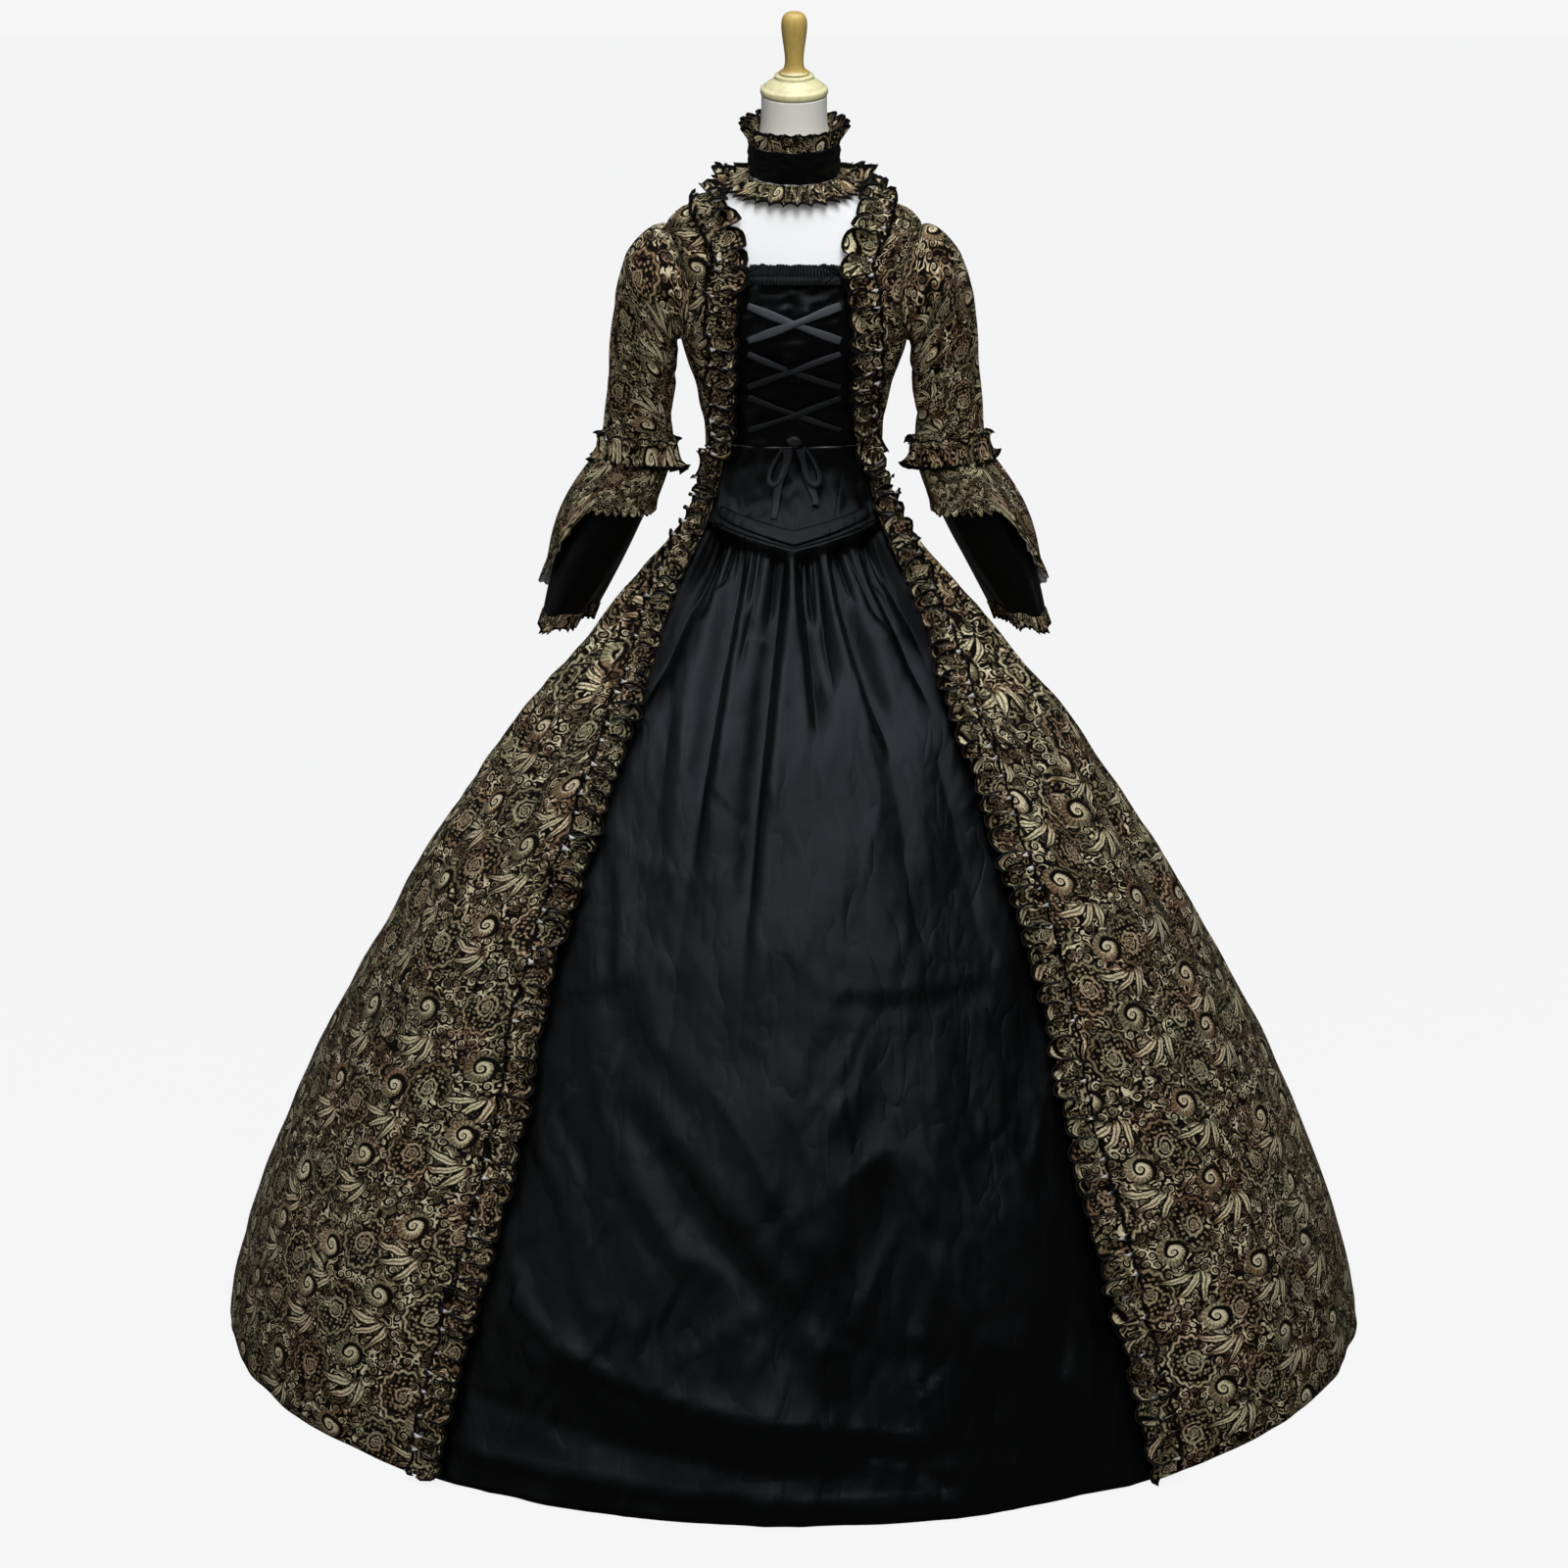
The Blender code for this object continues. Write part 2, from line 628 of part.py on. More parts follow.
def sleeve_face(along, turn):
    """Outer face of the left sleeve, an oval section that grows out of the armhole."""
    along, turn = np.broadcast_arrays(np.asarray(along, float), np.asarray(turn, float))
    outer_x = curve(SLEEVE, "outer_x", along)
    inner_x = curve(SLEEVE, "inner_x", along)
    outer_z = curve(SLEEVE, "outer_z", along)
    inner_z = curve(SLEEVE, "inner_z", along)
    high = (1 + np.cos(turn)) / 2
    x = inner_x + (outer_x - inner_x) * high
    y = curve(SLEEVE, "middle_y", along) + curve(SLEEVE, "half_depth", along) * np.sin(turn)
    z = inner_z + (outer_z - inner_z) * high
    share = ease(along / SLEEVE_HEAD)[..., None]
    return armhole_ring(turn) * (1 - share) + np.stack([x, y, z], axis=-1) * share


def ring(columns):
    """Angles round a closed ring."""
    return (np.arange(columns) * FULL_TURN / columns)[None, :]


def make_sleeves():
    """Fitted sleeves to the elbow, with a gathered heading over the seam of the flounces."""
    along = np.array(SLEEVE_STEPS)[::-1, None]
    turn = ring(SLEEVE_COLUMNS)
    inner = raised(sleeve_face, np.maximum(along, 0.0002), turn, -WALL * np.ones((len(along), 1)), True)
    both_sides("sleeve", sleeve_face(along, turn), inner, BROCADE, closed=True)
    turn = ring(HEADING_WAVES * RUFFLE_COLUMNS)
    wave = np.cos(HEADING_WAVES * turn)
    along = HEADING["along"][:, None]
    lift = HEADING_LIFT + HEADING["stand"][:, None] * (1 + 0.5 * wave)
    outer = raised(sleeve_face, along, turn, lift + TRIM_WALL, True)
    both_sides("sleeve_ruffle", outer, raised(sleeve_face, along, turn, lift, True), BROCADE, closed=True)


def flounce_face(down, turn):
    """Outer face of the left flounces, from the sleeve's end to the flattened ring at their hem."""
    down, turn = np.broadcast_arrays(np.asarray(down, float), np.asarray(turn, float))
    start = sleeve_face(1.0, turn)
    start_radius = np.hypot(start[..., 0], start[..., 1])
    start_turn = np.arctan2(start[..., 0], -start[..., 1])
    radius = FLOUNCE_HEM_RADIUS + FLOUNCE_HEM_HALF_RADIUS * np.cos(turn)
    azimuth = FLOUNCE_HEM_TURN + FLOUNCE_HEM_HALF_TURN * np.sin(turn)
    bow = FLOUNCE_BOW * np.sin(HALF_TURN * np.clip(down, 0, 1)) * np.cos(turn)
    radius = start_radius + (radius - start_radius) * down + bow
    azimuth = start_turn + (azimuth - start_turn) * down
    start_z = start[..., 2] - FLOUNCE_SEAM
    z = start_z + (FLOUNCE_HEM_Z - start_z) * down
    return np.stack([radius * np.sin(azimuth), -radius * np.cos(azimuth), z], axis=-1)


def make_flounces():
    """Black flounce with a brocade edging, and over it a brocade flounce cut short in front."""
    columns = FLOUNCE_FOLDS * COLUMNS_PER_FOLD
    turn = ring(columns)
    wave = (1 - np.cos(FLOUNCE_FOLDS * turn)) / 2
    down = np.linspace(FLOUNCE_TRIM_START - 0.002, 0.0, 4)[:, None]
    lift = INNER_FLOUNCE_LIFT - FLOUNCE_WAVE * down * wave
    inner = raised(flounce_face, down, turn, lift - WALL, True)
    both_sides("flounce_inner", raised(flounce_face, down, turn, lift, True), inner, SATIN, closed=True)
    down = np.array([[1.0], [FLOUNCE_TRIM_START]])
    lift = INNER_FLOUNCE_LIFT - FLOUNCE_WAVE * down * wave
    inner = raised(flounce_face, down, turn, lift - WALL, True)
    both_sides("flounce_edging", raised(flounce_face, down, turn, lift, True), inner, BROCADE, closed=True)
    drop = np.clip(np.cos(turn - OUTER_FLOUNCE_LONG_AT), 0.0, 1.0) ** 0.8
    hem = OUTER_FLOUNCE_SHORT - OUTER_FLOUNCE_DROP * drop
    top = curve(SLEEVE, "outer_z", 1.0)
    end = (top - hem) / (top - FLOUNCE_HEM_Z)
    down = np.linspace(1.0, 0.0, 4)[:, None] * end
    lift = FLOUNCE_WAVE * down * (2 - 2 * wave)
    inner = raised(flounce_face, down, turn, lift - WALL, True)
    both_sides("flounce_outer", raised(flounce_face, down, turn, lift, True), inner, BROCADE, closed=True)


def neck_ring(along, turn, half_width, half_depth, lean):
    """Ring round the leaning neck: how far up it, and its two half sizes."""
    centre_y = NECK_BASE[1] - NECK_LENGTH * along * math.sin(NECK_LEAN)
    centre_z = NECK_BASE[2] + NECK_LENGTH * along * math.cos(NECK_LEAN)
    tilt = NECK_LEAN * lean
    x = half_width * np.sin(turn)
    y = centre_y - half_depth * np.cos(turn) * np.cos(tilt)
    z = centre_z - half_depth * np.cos(turn) * np.sin(tilt)
    return np.stack(np.broadcast_arrays(x, y, z), axis=-1)


def choker_piece(name, rows, waves, finish):
    """Band or ruffle round the neck, from its rows of height up the neck, radius and depth of the waves."""
    turn = ring(waves * RUFFLE_COLUMNS)
    along = rows["along"][:, None]
    radius = rows["radius"][:, None] + rows["wave"][:, None] * np.cos(waves * turn)
    outer = neck_ring(along, turn, radius, radius, 1.0)
    radius = radius - TRIM_WALL
    cloth(name, outer, neck_ring(along, turn, radius, radius, 1.0), finish, closed=True)


def make_choker():
    """Black band with a ruffle standing up from it and a pleated ruffle falling from it."""
    choker_piece("choker_band", CHOKER_BAND, FORM_COLUMNS // RUFFLE_COLUMNS, SATIN)
    choker_piece("choker_ruffle_top", CHOKER_TOP, CHOKER_TOP_WAVES, BROCADE)
    choker_piece("choker_ruffle_bottom", CHOKER_BOTTOM, CHOKER_PLEATS, BROCADE)


def form_rings():
    """Rings of the dress form from its flat underside to the top of its neck."""
    turn = ring(FORM_COLUMNS)[0]
    behind = np.cos(turn) < 0
    rings = []
    for z in FORM_HIPS["z"]:
        depth = np.where(behind, curve(FORM_HIPS, "back", z), curve(FORM_HIPS, "front", z))
        width = curve(FORM_HIPS, "half_width", z)
        rings.append(np.stack([width * np.sin(turn), -depth * np.cos(turn), z + 0 * turn], axis=-1))
    for z in [row for row in BODICE_ROWS if row < FORM_BUST_ROWS[0] - SEAM]:
        seated = ease(-np.cos(turn) / 0.3) * (z < 1.2)
        clear = FORM_CLEAR + (FORM_SEAT - FORM_CLEAR) * seated
        rings.append(robe(z, turn, -WALL - clear))
    for z in FORM_BUST_ROWS:
        rings.append(robe(z, turn, -WALL - FORM_CLEAR))
    for along, width, depth, lean in zip(*NECK.values()):
        rings.append(neck_ring(along, turn, width, depth, lean))
    return np.stack(rings)


def capped_loft(name, rings, finish):
    """Closed solid through rings, with a flat face over the first and the last."""
    rows, columns = rings.shape[:2]
    faces = grid_faces(rows, columns, 0, True, False)
    faces.append(tuple(range(columns))[::-1])
    top = (rows - 1) * columns
    faces.append(tuple(range(top, top + columns)))
    mesh = bpy.data.meshes.new(name)
    mesh.from_pydata(rings.reshape(-1, 3).tolist(), [], faces)
    mesh.validate()
    return place(name, mesh, finish)


def turned(name, profile, finish, lift):
    """Turned piece that stands on the neck's flat top, leaning with it."""
    mesh = bpy.data.meshes.new(name)
    mesh.from_pydata([(radius, 0.0, height) for radius, height in profile], [],
                     [(i, i + 1) for i in range(len(profile) - 1)])
    made = place(name, mesh, finish)
    screw = made.modifiers.new("turning", "SCREW")
    screw.steps = TURNING_STEPS
    screw.render_steps = TURNING_STEPS
    screw.use_normal_flip = True
    screw.use_merge_vertices = True
    screw.merge_threshold = 0.0001
    reach = NECK_LENGTH + lift
    made.location = (
        0.0, NECK_BASE[1] - reach * math.sin(NECK_LEAN), NECK_BASE[2] + reach * math.cos(NECK_LEAN))
    made.rotation_euler = (NECK_LEAN, 0.0, 0.0)
    return made


def cylinder(name, radius, low, high, segments, finish):
    """Upright cylinder between two heights."""
    mesh = bpy.data.meshes.new(name)
    shape = bmesh.new()
    bmesh.ops.create_cone(
        shape, cap_ends=True, segments=segments, radius1=radius, radius2=radius, depth=high - low)
    bmesh.ops.translate(shape, verts=shape.verts, vec=(0.0, 0.0, (low + high) / 2))
    shape.to_mesh(mesh)
    shape.free()
    return place(name, mesh, finish)


def make_form():
    """Limbless dress form on a pole and a round base, with a wooden cap and a turned finial."""
    capped_loft("form_torso", form_rings(), FORM_CLOTH)
    turned("neck_cap", CAP_PROFILE, WOOD, PIECE_GAP)
    turned("finial", FINIAL_PROFILE, WOOD, 2 * PIECE_GAP + CAP_PROFILE[0][1])
    cylinder("stand_base", BASE_RADIUS, 0.0, BASE_HEIGHT, 48, STEEL)
    cylinder("stand_pole", POLE_RADIUS, BASE_HEIGHT + PIECE_GAP, FORM_HIPS["z"][0] - PIECE_GAP, 16, STEEL)


def ribbon(name, z, reach, lift):
    """Flat ribbon laid over the front along a line of heights and distances to the side."""
    slope_z = np.gradient(z)
    slope_x = np.gradient(reach)
    length = np.hypot(slope_z, slope_x)
    half = LACE_WIDTH / 2
    side = np.array([-1.0, 1.0])[:, None]
    ribbon_z = z - side * half * slope_x / length
    ribbon_x = reach + side * half * slope_z / length
    turn = turn_at(ribbon_z, ribbon_x)
    outer = robe(ribbon_z, turn, lift + TRIM_WALL)
    cloth(name, outer, robe(ribbon_z, turn, lift + 0 * ribbon_z), RIBBON, flip=True)


def make_lacing():
    """Ribbons that cross over the stomacher, and the knot with its loops and tails below them."""
    share = np.linspace(-1.0, 1.0, LACE_STEPS + 1)
    hump = LACE_HUMP * ease(1 - np.abs(share) / 0.45)
    for number, centre in enumerate(LACE_CROSSINGS, start=1):
        reach = LACE_HALF_SPAN * share
        ribbon(f"lace_under_{number}", centre - LACE_HALF_RISE * share, reach, LACE_LIFT + 0 * share)
        ribbon(f"lace_over_{number}", centre + LACE_HALF_RISE * share, reach, LACE_LIFT + hump)


def loop_of_ribbon(name, side, lift):
    """Flat hanging loop, an open ring of ribbon shaped like a drop."""
    turn = ring(LOOP_COLUMNS)[0]
    narrower = LOOP_RIBBON * np.array([0.0, 1.0])[:, None]
    half = LOOP_LENGTH / 2
    drop_z = KNOT_Z - LOOP_TOP - half + (half - narrower) * np.cos(turn)
    swell = (0.35 + 0.65 * (1 - np.cos(turn)) / 2) * (LOOP_HALF_WIDTH - narrower)
    reach = side * (LOOP_START + LOOP_SLANT * (KNOT_Z - drop_z)) + swell * np.sin(turn)
    angle = turn_at(drop_z, reach)
    outer = robe(drop_z, angle, lift + TRIM_WALL)
    cloth(name, outer, robe(drop_z, angle, lift), RIBBON, closed=True, flip=True)


def make_bow():
    """Knot under the lacing, two loops and two tails that hang over the basque."""
    knot = bmesh.new()
    bmesh.ops.create_icosphere(knot, subdivisions=1, radius=1.0)
    bmesh.ops.scale(knot, verts=knot.verts, vec=KNOT_HALF_SIZES)
    front = curve(ROBE, "front", KNOT_Z)
    bmesh.ops.translate(knot, verts=knot.verts, vec=(0.0, -front - KNOT_HALF_DEPTH - PIECE_GAP, KNOT_Z))
    mesh = bpy.data.meshes.new("lace_knot")
    knot.to_mesh(mesh)
    knot.free()
    place("lace_knot", mesh, RIBBON)
    loop_of_ribbon("lace_loop_right", -1, LOOP_LIFT)
    loop_of_ribbon("lace_loop_left", 1, LOOP_LIFT)
    fall = np.linspace(0.0, 1.0, LACE_STEPS + 1)
    for name, side, length in TAIL_LENGTHS:
        z = KNOT_Z - TAIL_TOP - length * fall
        reach = side * (TAIL_START + TAIL_SPREAD * np.sin(0.9 * QUARTER_TURN * fall) ** 1.5)
        ribbon(name, z, reach, TAIL_LIFT + 0 * z)


def main():
    for leftover in list(bpy.data.objects):
        bpy.data.objects.remove(leftover)
    collection = bpy.data.collections.new(COLLECTION)
    bpy.context.scene.collection.children.link(collection)
    make_form()
    make_bodice()
    make_stomacher()
    make_basque()
    make_underskirt()
    make_overskirt()
    make_front_ruffles()
    make_collar()
    make_sleeves()
    make_flounces()
    make_choker()
    make_lacing()
    make_bow()


main()
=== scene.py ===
"""Looks of the ball gown: woven cloth over the packed solids, the dress form, and a plain studio.

Metres, +Z up, the front towards -Y, the wearer's left towards +X. A place on the gown is a height and an
azimuth: 0 is the front, 90 degrees the wearer's left side, 180 the middle of the back.
"""
import math

import bpy
import numpy as np
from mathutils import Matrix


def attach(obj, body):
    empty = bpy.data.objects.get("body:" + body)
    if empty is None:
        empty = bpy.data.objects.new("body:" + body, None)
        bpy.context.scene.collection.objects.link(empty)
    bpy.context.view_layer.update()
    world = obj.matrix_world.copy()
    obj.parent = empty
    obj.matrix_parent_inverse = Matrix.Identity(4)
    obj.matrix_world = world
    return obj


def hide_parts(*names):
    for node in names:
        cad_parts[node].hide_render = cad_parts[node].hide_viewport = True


bl_info = {
    "name": "Ball gown on a dress form",
    "version": (1, 0, 0),
    "blender": (4, 5, 0),
    "location": "3D View > Sidebar > Gown",
    "description": "Builds the cloth, trims and form of a hooped ball gown over its packed solids",
    "category": "Object",
}

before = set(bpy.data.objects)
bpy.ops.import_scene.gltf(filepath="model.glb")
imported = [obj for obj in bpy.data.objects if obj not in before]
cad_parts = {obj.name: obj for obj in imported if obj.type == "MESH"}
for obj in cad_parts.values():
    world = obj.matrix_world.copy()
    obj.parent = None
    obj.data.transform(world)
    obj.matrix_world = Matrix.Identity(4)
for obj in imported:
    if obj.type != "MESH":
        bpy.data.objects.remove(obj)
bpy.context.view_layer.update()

HALF_TURN = math.pi
QUARTER_TURN = math.pi / 2
FULL_TURN = 2 * math.pi


def table(names, *rows):
    """Columns of a small table by name, one row for each section."""
    return dict(zip(names.split(), np.array(rows, dtype=float).T))


WALL = 0.0013
HEM = 0.001
WAIST = 1.1265
FRONT_WAIST = 1.139
EDGE_TURN = 0.012

# Outer face of the robe: half width, and depth before and behind the side line
ROBE = table(
    "z half_width front back",
    (0.000, 0.750, 0.750, 0.750),
    (0.040, 0.742, 0.742, 0.742),
    (0.100, 0.726, 0.726, 0.726),
    (0.200, 0.692, 0.692, 0.692),
    (0.300, 0.648, 0.648, 0.648),
    (0.400, 0.601, 0.601, 0.601),
    (0.500, 0.547, 0.547, 0.547),
    (0.600, 0.492, 0.492, 0.492),
    (0.700, 0.429, 0.429, 0.429),
    (0.800, 0.360, 0.360, 0.360),
    (0.900, 0.270, 0.268, 0.268),
    (0.960, 0.220, 0.217, 0.217),
    (1.020, 0.166, 0.160, 0.160),
    (1.080, 0.122, 0.113, 0.113),
    (1.1265, 0.112, 0.098, 0.098),
    (1.160, 0.113, 0.101, 0.098),
    (1.185, 0.1184, 0.106, 0.099),
    (1.210, 0.1238, 0.113, 0.101),
    (1.235, 0.133, 0.121, 0.103),
    (1.265, 0.142, 0.129, 0.105),
    (1.295, 0.147, 0.131, 0.107),
    (1.335, 0.152, 0.124, 0.108),
    (1.365, 0.156, 0.112, 0.107),
    (1.405, 0.160, 0.086, 0.101),
    (1.425, 0.146, 0.070, 0.096),
    (1.437, 0.118, 0.060, 0.091),
    (1.446, 0.094, 0.054, 0.087),
    (1.456, 0.074, 0.052, 0.083),
)

# Inner border of the front ruffles: how far the black shows on each side of the middle
BORDER = table(
    "z reach",
    (0.000, 0.408),
    (0.100, 0.388),
    (0.250, 0.347),
    (0.330, 0.324),
    (0.430, 0.303),
    (0.510, 0.288),
    (0.584, 0.270),
    (0.646, 0.250),
    (0.700, 0.230),
    (0.763, 0.210),
    (0.816, 0.190),
    (0.867, 0.172),
    (0.919, 0.155),
    (0.973, 0.133),
    (1.017, 0.111),
    (1.050, 0.096),
    (1.078, 0.087),
    (1.114, 0.077),
    (1.1265, 0.071),
    (1.160, 0.064),
    (1.250, 0.063),
    (1.330, 0.062),
    (1.365, 0.056),
    (1.385, 0.060),
    (1.430, 0.081),
    (1.446, 0.085),
)

SIDE_BACK_SEAM = math.radians(120)
BASQUE_POINT = 1.021
BASQUE_SIDE = 1.050
UNDERSKIRT_INSET = 0.006
UNDERSKIRT_HEM = 0.0025
UNDERSKIRT_LAP = math.radians(3)
ARMHOLE_HEIGHT = 1.335
ARMHOLE_HALF_HEIGHT = 0.070
ARMHOLE_HALF_TURN = math.radians(30)
NECK_EDGE = 1.443
BACK_NECK = 1.452
STOMACHER_TOP = 1.3625

# Sleeve sections down the arm: outer and inner point, middle and half of the depth
SLEEVE = table(
    "along outer_x outer_z inner_x inner_z middle_y half_depth",
    (0.00, 0.1620, 1.407, 0.1430, 1.266, 0.000, 0.060),
    (0.08, 0.1860, 1.402, 0.1455, 1.263, 0.002, 0.062),
    (0.20, 0.2080, 1.374, 0.1470, 1.256, 0.006, 0.061),
    (0.35, 0.2210, 1.333, 0.1480, 1.238, 0.012, 0.057),
    (0.50, 0.2300, 1.285, 0.1500, 1.213, 0.018, 0.052),
    (0.65, 0.2345, 1.235, 0.1530, 1.185, 0.026, 0.048),
    (0.80, 0.2390, 1.185, 0.1555, 1.155, 0.034, 0.045),
    (0.95, 0.2450, 1.137, 0.1545, 1.126, 0.042, 0.043),
    (1.00, 0.2480, 1.122, 0.1540, 1.117, 0.044, 0.043),
    (1.08, 0.2540, 1.098, 0.1550, 1.102, 0.048, 0.043),
)
SLEEVE_HEAD = 0.22

# Flounces: the flattened hem ring lies against the skirt, a little behind the side line
FLOUNCE_SEAM = 0.0009
FLOUNCE_HEM_Z = 0.886
FLOUNCE_HEM_RADIUS = 0.315
FLOUNCE_HEM_HALF_RADIUS = 0.030
FLOUNCE_HEM_TURN = math.radians(105.5)
FLOUNCE_HEM_HALF_TURN = math.radians(14.5)
FLOUNCE_BOW = 0.012
FLOUNCE_TRIM_START = 0.92
INNER_FLOUNCE_LIFT = -0.0024
OUTER_FLOUNCE_SHORT = 1.045
OUTER_FLOUNCE_DROP = 0.112
OUTER_FLOUNCE_LONG_AT = math.radians(25)

# Neck of the form, on an axis that leans to the front
NECK_BASE = (0.0, 0.012, 1.435)
NECK_LENGTH = 0.135
NECK_LEAN = math.radians(14)
NECK = table(
    "along half_width half_depth lean",
    (0.02, 0.1020, 0.0620, 0.25),
    (0.08, 0.0800, 0.0600, 0.60),
    (0.16, 0.0640, 0.0580, 0.85),
    (0.28, 0.0554, 0.0554, 1.00),
    (0.45, 0.0490, 0.0490, 1.00),
    (0.60, 0.0440, 0.0440, 1.00),
    (0.80, 0.0410, 0.0410, 1.00),
    (1.00, 0.0405, 0.0405, 1.00),
)
FORM_HIPS = table(
    "z half_width front back",
    (0.880, 0.138, 0.108, 0.113),
    (0.910, 0.150, 0.115, 0.122),
    (0.950, 0.152, 0.116, 0.123),
    (1.000, 0.143, 0.111, 0.117),
    (1.050, 0.122, 0.101, 0.104),
    (1.090, 0.108, 0.094, 0.094),
)
FORM_CLEAR = 0.0040
CAP_PROFILE = table(
    "radius height",
    (0.0000, 0.0000),
    (0.0380, 0.0000),
    (0.0395, 0.0006),
    (0.0412, 0.0014),
    (0.0420, 0.0030),
    (0.0421, 0.0060),
    (0.0418, 0.0085),
    (0.0400, 0.0098),
    (0.0372, 0.0106),
    (0.0362, 0.0125),
    (0.0340, 0.0145),
    (0.0270, 0.0190),
    (0.0235, 0.0212),
    (0.0248, 0.0230),
    (0.0244, 0.0248),
    (0.0225, 0.0258),
    (0.0000, 0.0259),
)
FINIAL_PROFILE = table(
    "radius height",
    (0.0000, 0.0000),
    (0.0182, 0.0000),
    (0.0190, 0.0010),
    (0.0188, 0.0024),
    (0.0160, 0.0036),
    (0.0140, 0.0052),
    (0.0124, 0.0080),
    (0.0115, 0.0120),
    (0.0114, 0.0180),
    (0.0120, 0.0260),
    (0.0134, 0.0360),
    (0.0148, 0.0450),
    (0.0158, 0.0540),
    (0.0161, 0.0600),
    (0.0156, 0.0660),
    (0.0140, 0.0705),
    (0.0112, 0.0738),
    (0.0070, 0.0755),
    (0.0030, 0.0760),
    (0.0000, 0.0760),
)


def curve(columns, name, at):
    """A column of a table at any height, on a smooth curve that doesn't overshoot its rows."""
    keys = columns[next(iter(columns))]
    values = columns[name]
    at = np.clip(at, keys[0], keys[-1])
    gaps = np.diff(keys)
    slopes = np.diff(values) / gaps
    tangents = np.zeros(len(keys))
    tangents[0] = slopes[0]
    tangents[-1] = slopes[-1]
    steady = slopes[:-1] * slopes[1:] > 0
    product = slopes[:-1] * slopes[1:]
    total = np.where(steady, slopes[:-1] + slopes[1:], 1.0)
    tangents[1:-1] = np.where(steady, 2 * product / total, 0.0)
    row = np.clip(np.searchsorted(keys, at, side="right") - 1, 0, len(keys) - 2)
    gap = gaps[row]
    t = (at - keys[row]) / gap
    low = values[row] * (1 + 2 * t) * (1 - t) ** 2 + tangents[row] * gap * t * (1 - t) ** 2
    high = values[row + 1] * t ** 2 * (3 - 2 * t) - tangents[row + 1] * gap * t ** 2 * (1 - t)
    return low + high


def ease(t):
    """Smooth step from 0 to 1."""
    t = np.clip(t, 0.0, 1.0)
    return t * t * (3 - 2 * t)


def robe_face(z, turn):
    """Outer face of the robe: an ellipse at each height, other depths before and behind the side line."""
    z, turn = np.broadcast_arrays(np.asarray(z, float), np.asarray(turn, float))
    depth = np.where(np.cos(turn) > 0, curve(ROBE, "front", z), curve(ROBE, "back", z))
    return grid(curve(ROBE, "half_width", z) * np.sin(turn), -depth * np.cos(turn), z)


def normal_of(face, a, b, downward=False):
    """Unit normal of a face from the cross product of its two directions; downward turns it round."""
    step = 1e-4
    across = face(a, b + step) - face(a, b - step)
    along = face(a + step, b) - face(a - step, b)
    normal = np.cross(across, along)
    length = np.maximum(np.linalg.norm(normal, axis=-1, keepdims=True), 1e-12)
    return normal / length * (-1 if downward else 1)


def raised(face, a, b, lift, downward=False):
    """Points of a face moved out along its normal."""
    a, b, lift = np.broadcast_arrays(np.asarray(a, float), np.asarray(b, float), np.asarray(lift, float))
    return face(a, b) + normal_of(face, a, b, downward) * lift[..., None]


def robe(z, turn, lift=0.0):
    """Point of the robe, moved out by a lift."""
    return raised(robe_face, z, turn, lift)


def turn_at(z, reach):
    """Azimuth at which the robe lies a given distance to the side of the middle."""
    return np.arcsin(np.clip(reach / curve(ROBE, "half_width", z), -0.998, 0.998))


def front_edge(z):
    """Azimuth of the robe's front edge."""
    return turn_at(z, curve(BORDER, "reach", z) + EDGE_TURN)


def between(start, end, count):
    """Columns from a start to an end that both may change from row to row."""
    share = np.linspace(0.0, 1.0, count + 1)
    return start[:, None] * (1 - share) + end[:, None] * share


def sleeve_face(along, turn):
    """Left sleeve: the armhole's oval that turns into oval sections down the arm."""
    along, turn = np.broadcast_arrays(np.asarray(along, float), np.asarray(turn, float))
    high = (1 + np.cos(turn)) / 2
    inner_x, inner_z = curve(SLEEVE, "inner_x", along), curve(SLEEVE, "inner_z", along)
    x = inner_x + (curve(SLEEVE, "outer_x", along) - inner_x) * high
    y = curve(SLEEVE, "middle_y", along) + curve(SLEEVE, "half_depth", along) * np.sin(turn)
    z = inner_z + (curve(SLEEVE, "outer_z", along) - inner_z) * high
    ring_z = ARMHOLE_HEIGHT + ARMHOLE_HALF_HEIGHT * np.cos(turn)
    armhole = robe(ring_z, QUARTER_TURN + ARMHOLE_HALF_TURN * np.sin(turn), 0.0005)
    share = ease(along / SLEEVE_HEAD)[..., None]
    return armhole * (1 - share) + grid(x, y, z) * share


def flounce_face(down, turn):
    """Left flounces: from the sleeve's end to the flattened ring at their hem, bowed out a little."""
    down, turn = np.broadcast_arrays(np.asarray(down, float), np.asarray(turn, float))
    start = sleeve_face(1.0, turn)
    start_radius = np.hypot(start[..., 0], start[..., 1])
    start_turn = np.arctan2(start[..., 0], -start[..., 1])
    radius = FLOUNCE_HEM_RADIUS + FLOUNCE_HEM_HALF_RADIUS * np.cos(turn)
    azimuth = FLOUNCE_HEM_TURN + FLOUNCE_HEM_HALF_TURN * np.sin(turn)
    bow = FLOUNCE_BOW * np.sin(HALF_TURN * np.clip(down, 0, 1)) * np.cos(turn)
    radius = start_radius + (radius - start_radius) * down + bow
    azimuth = start_turn + (azimuth - start_turn) * down
    start_z = start[..., 2] - FLOUNCE_SEAM
    z = start_z + (FLOUNCE_HEM_Z - start_z) * down
    return grid(radius * np.sin(azimuth), -radius * np.cos(azimuth), z)


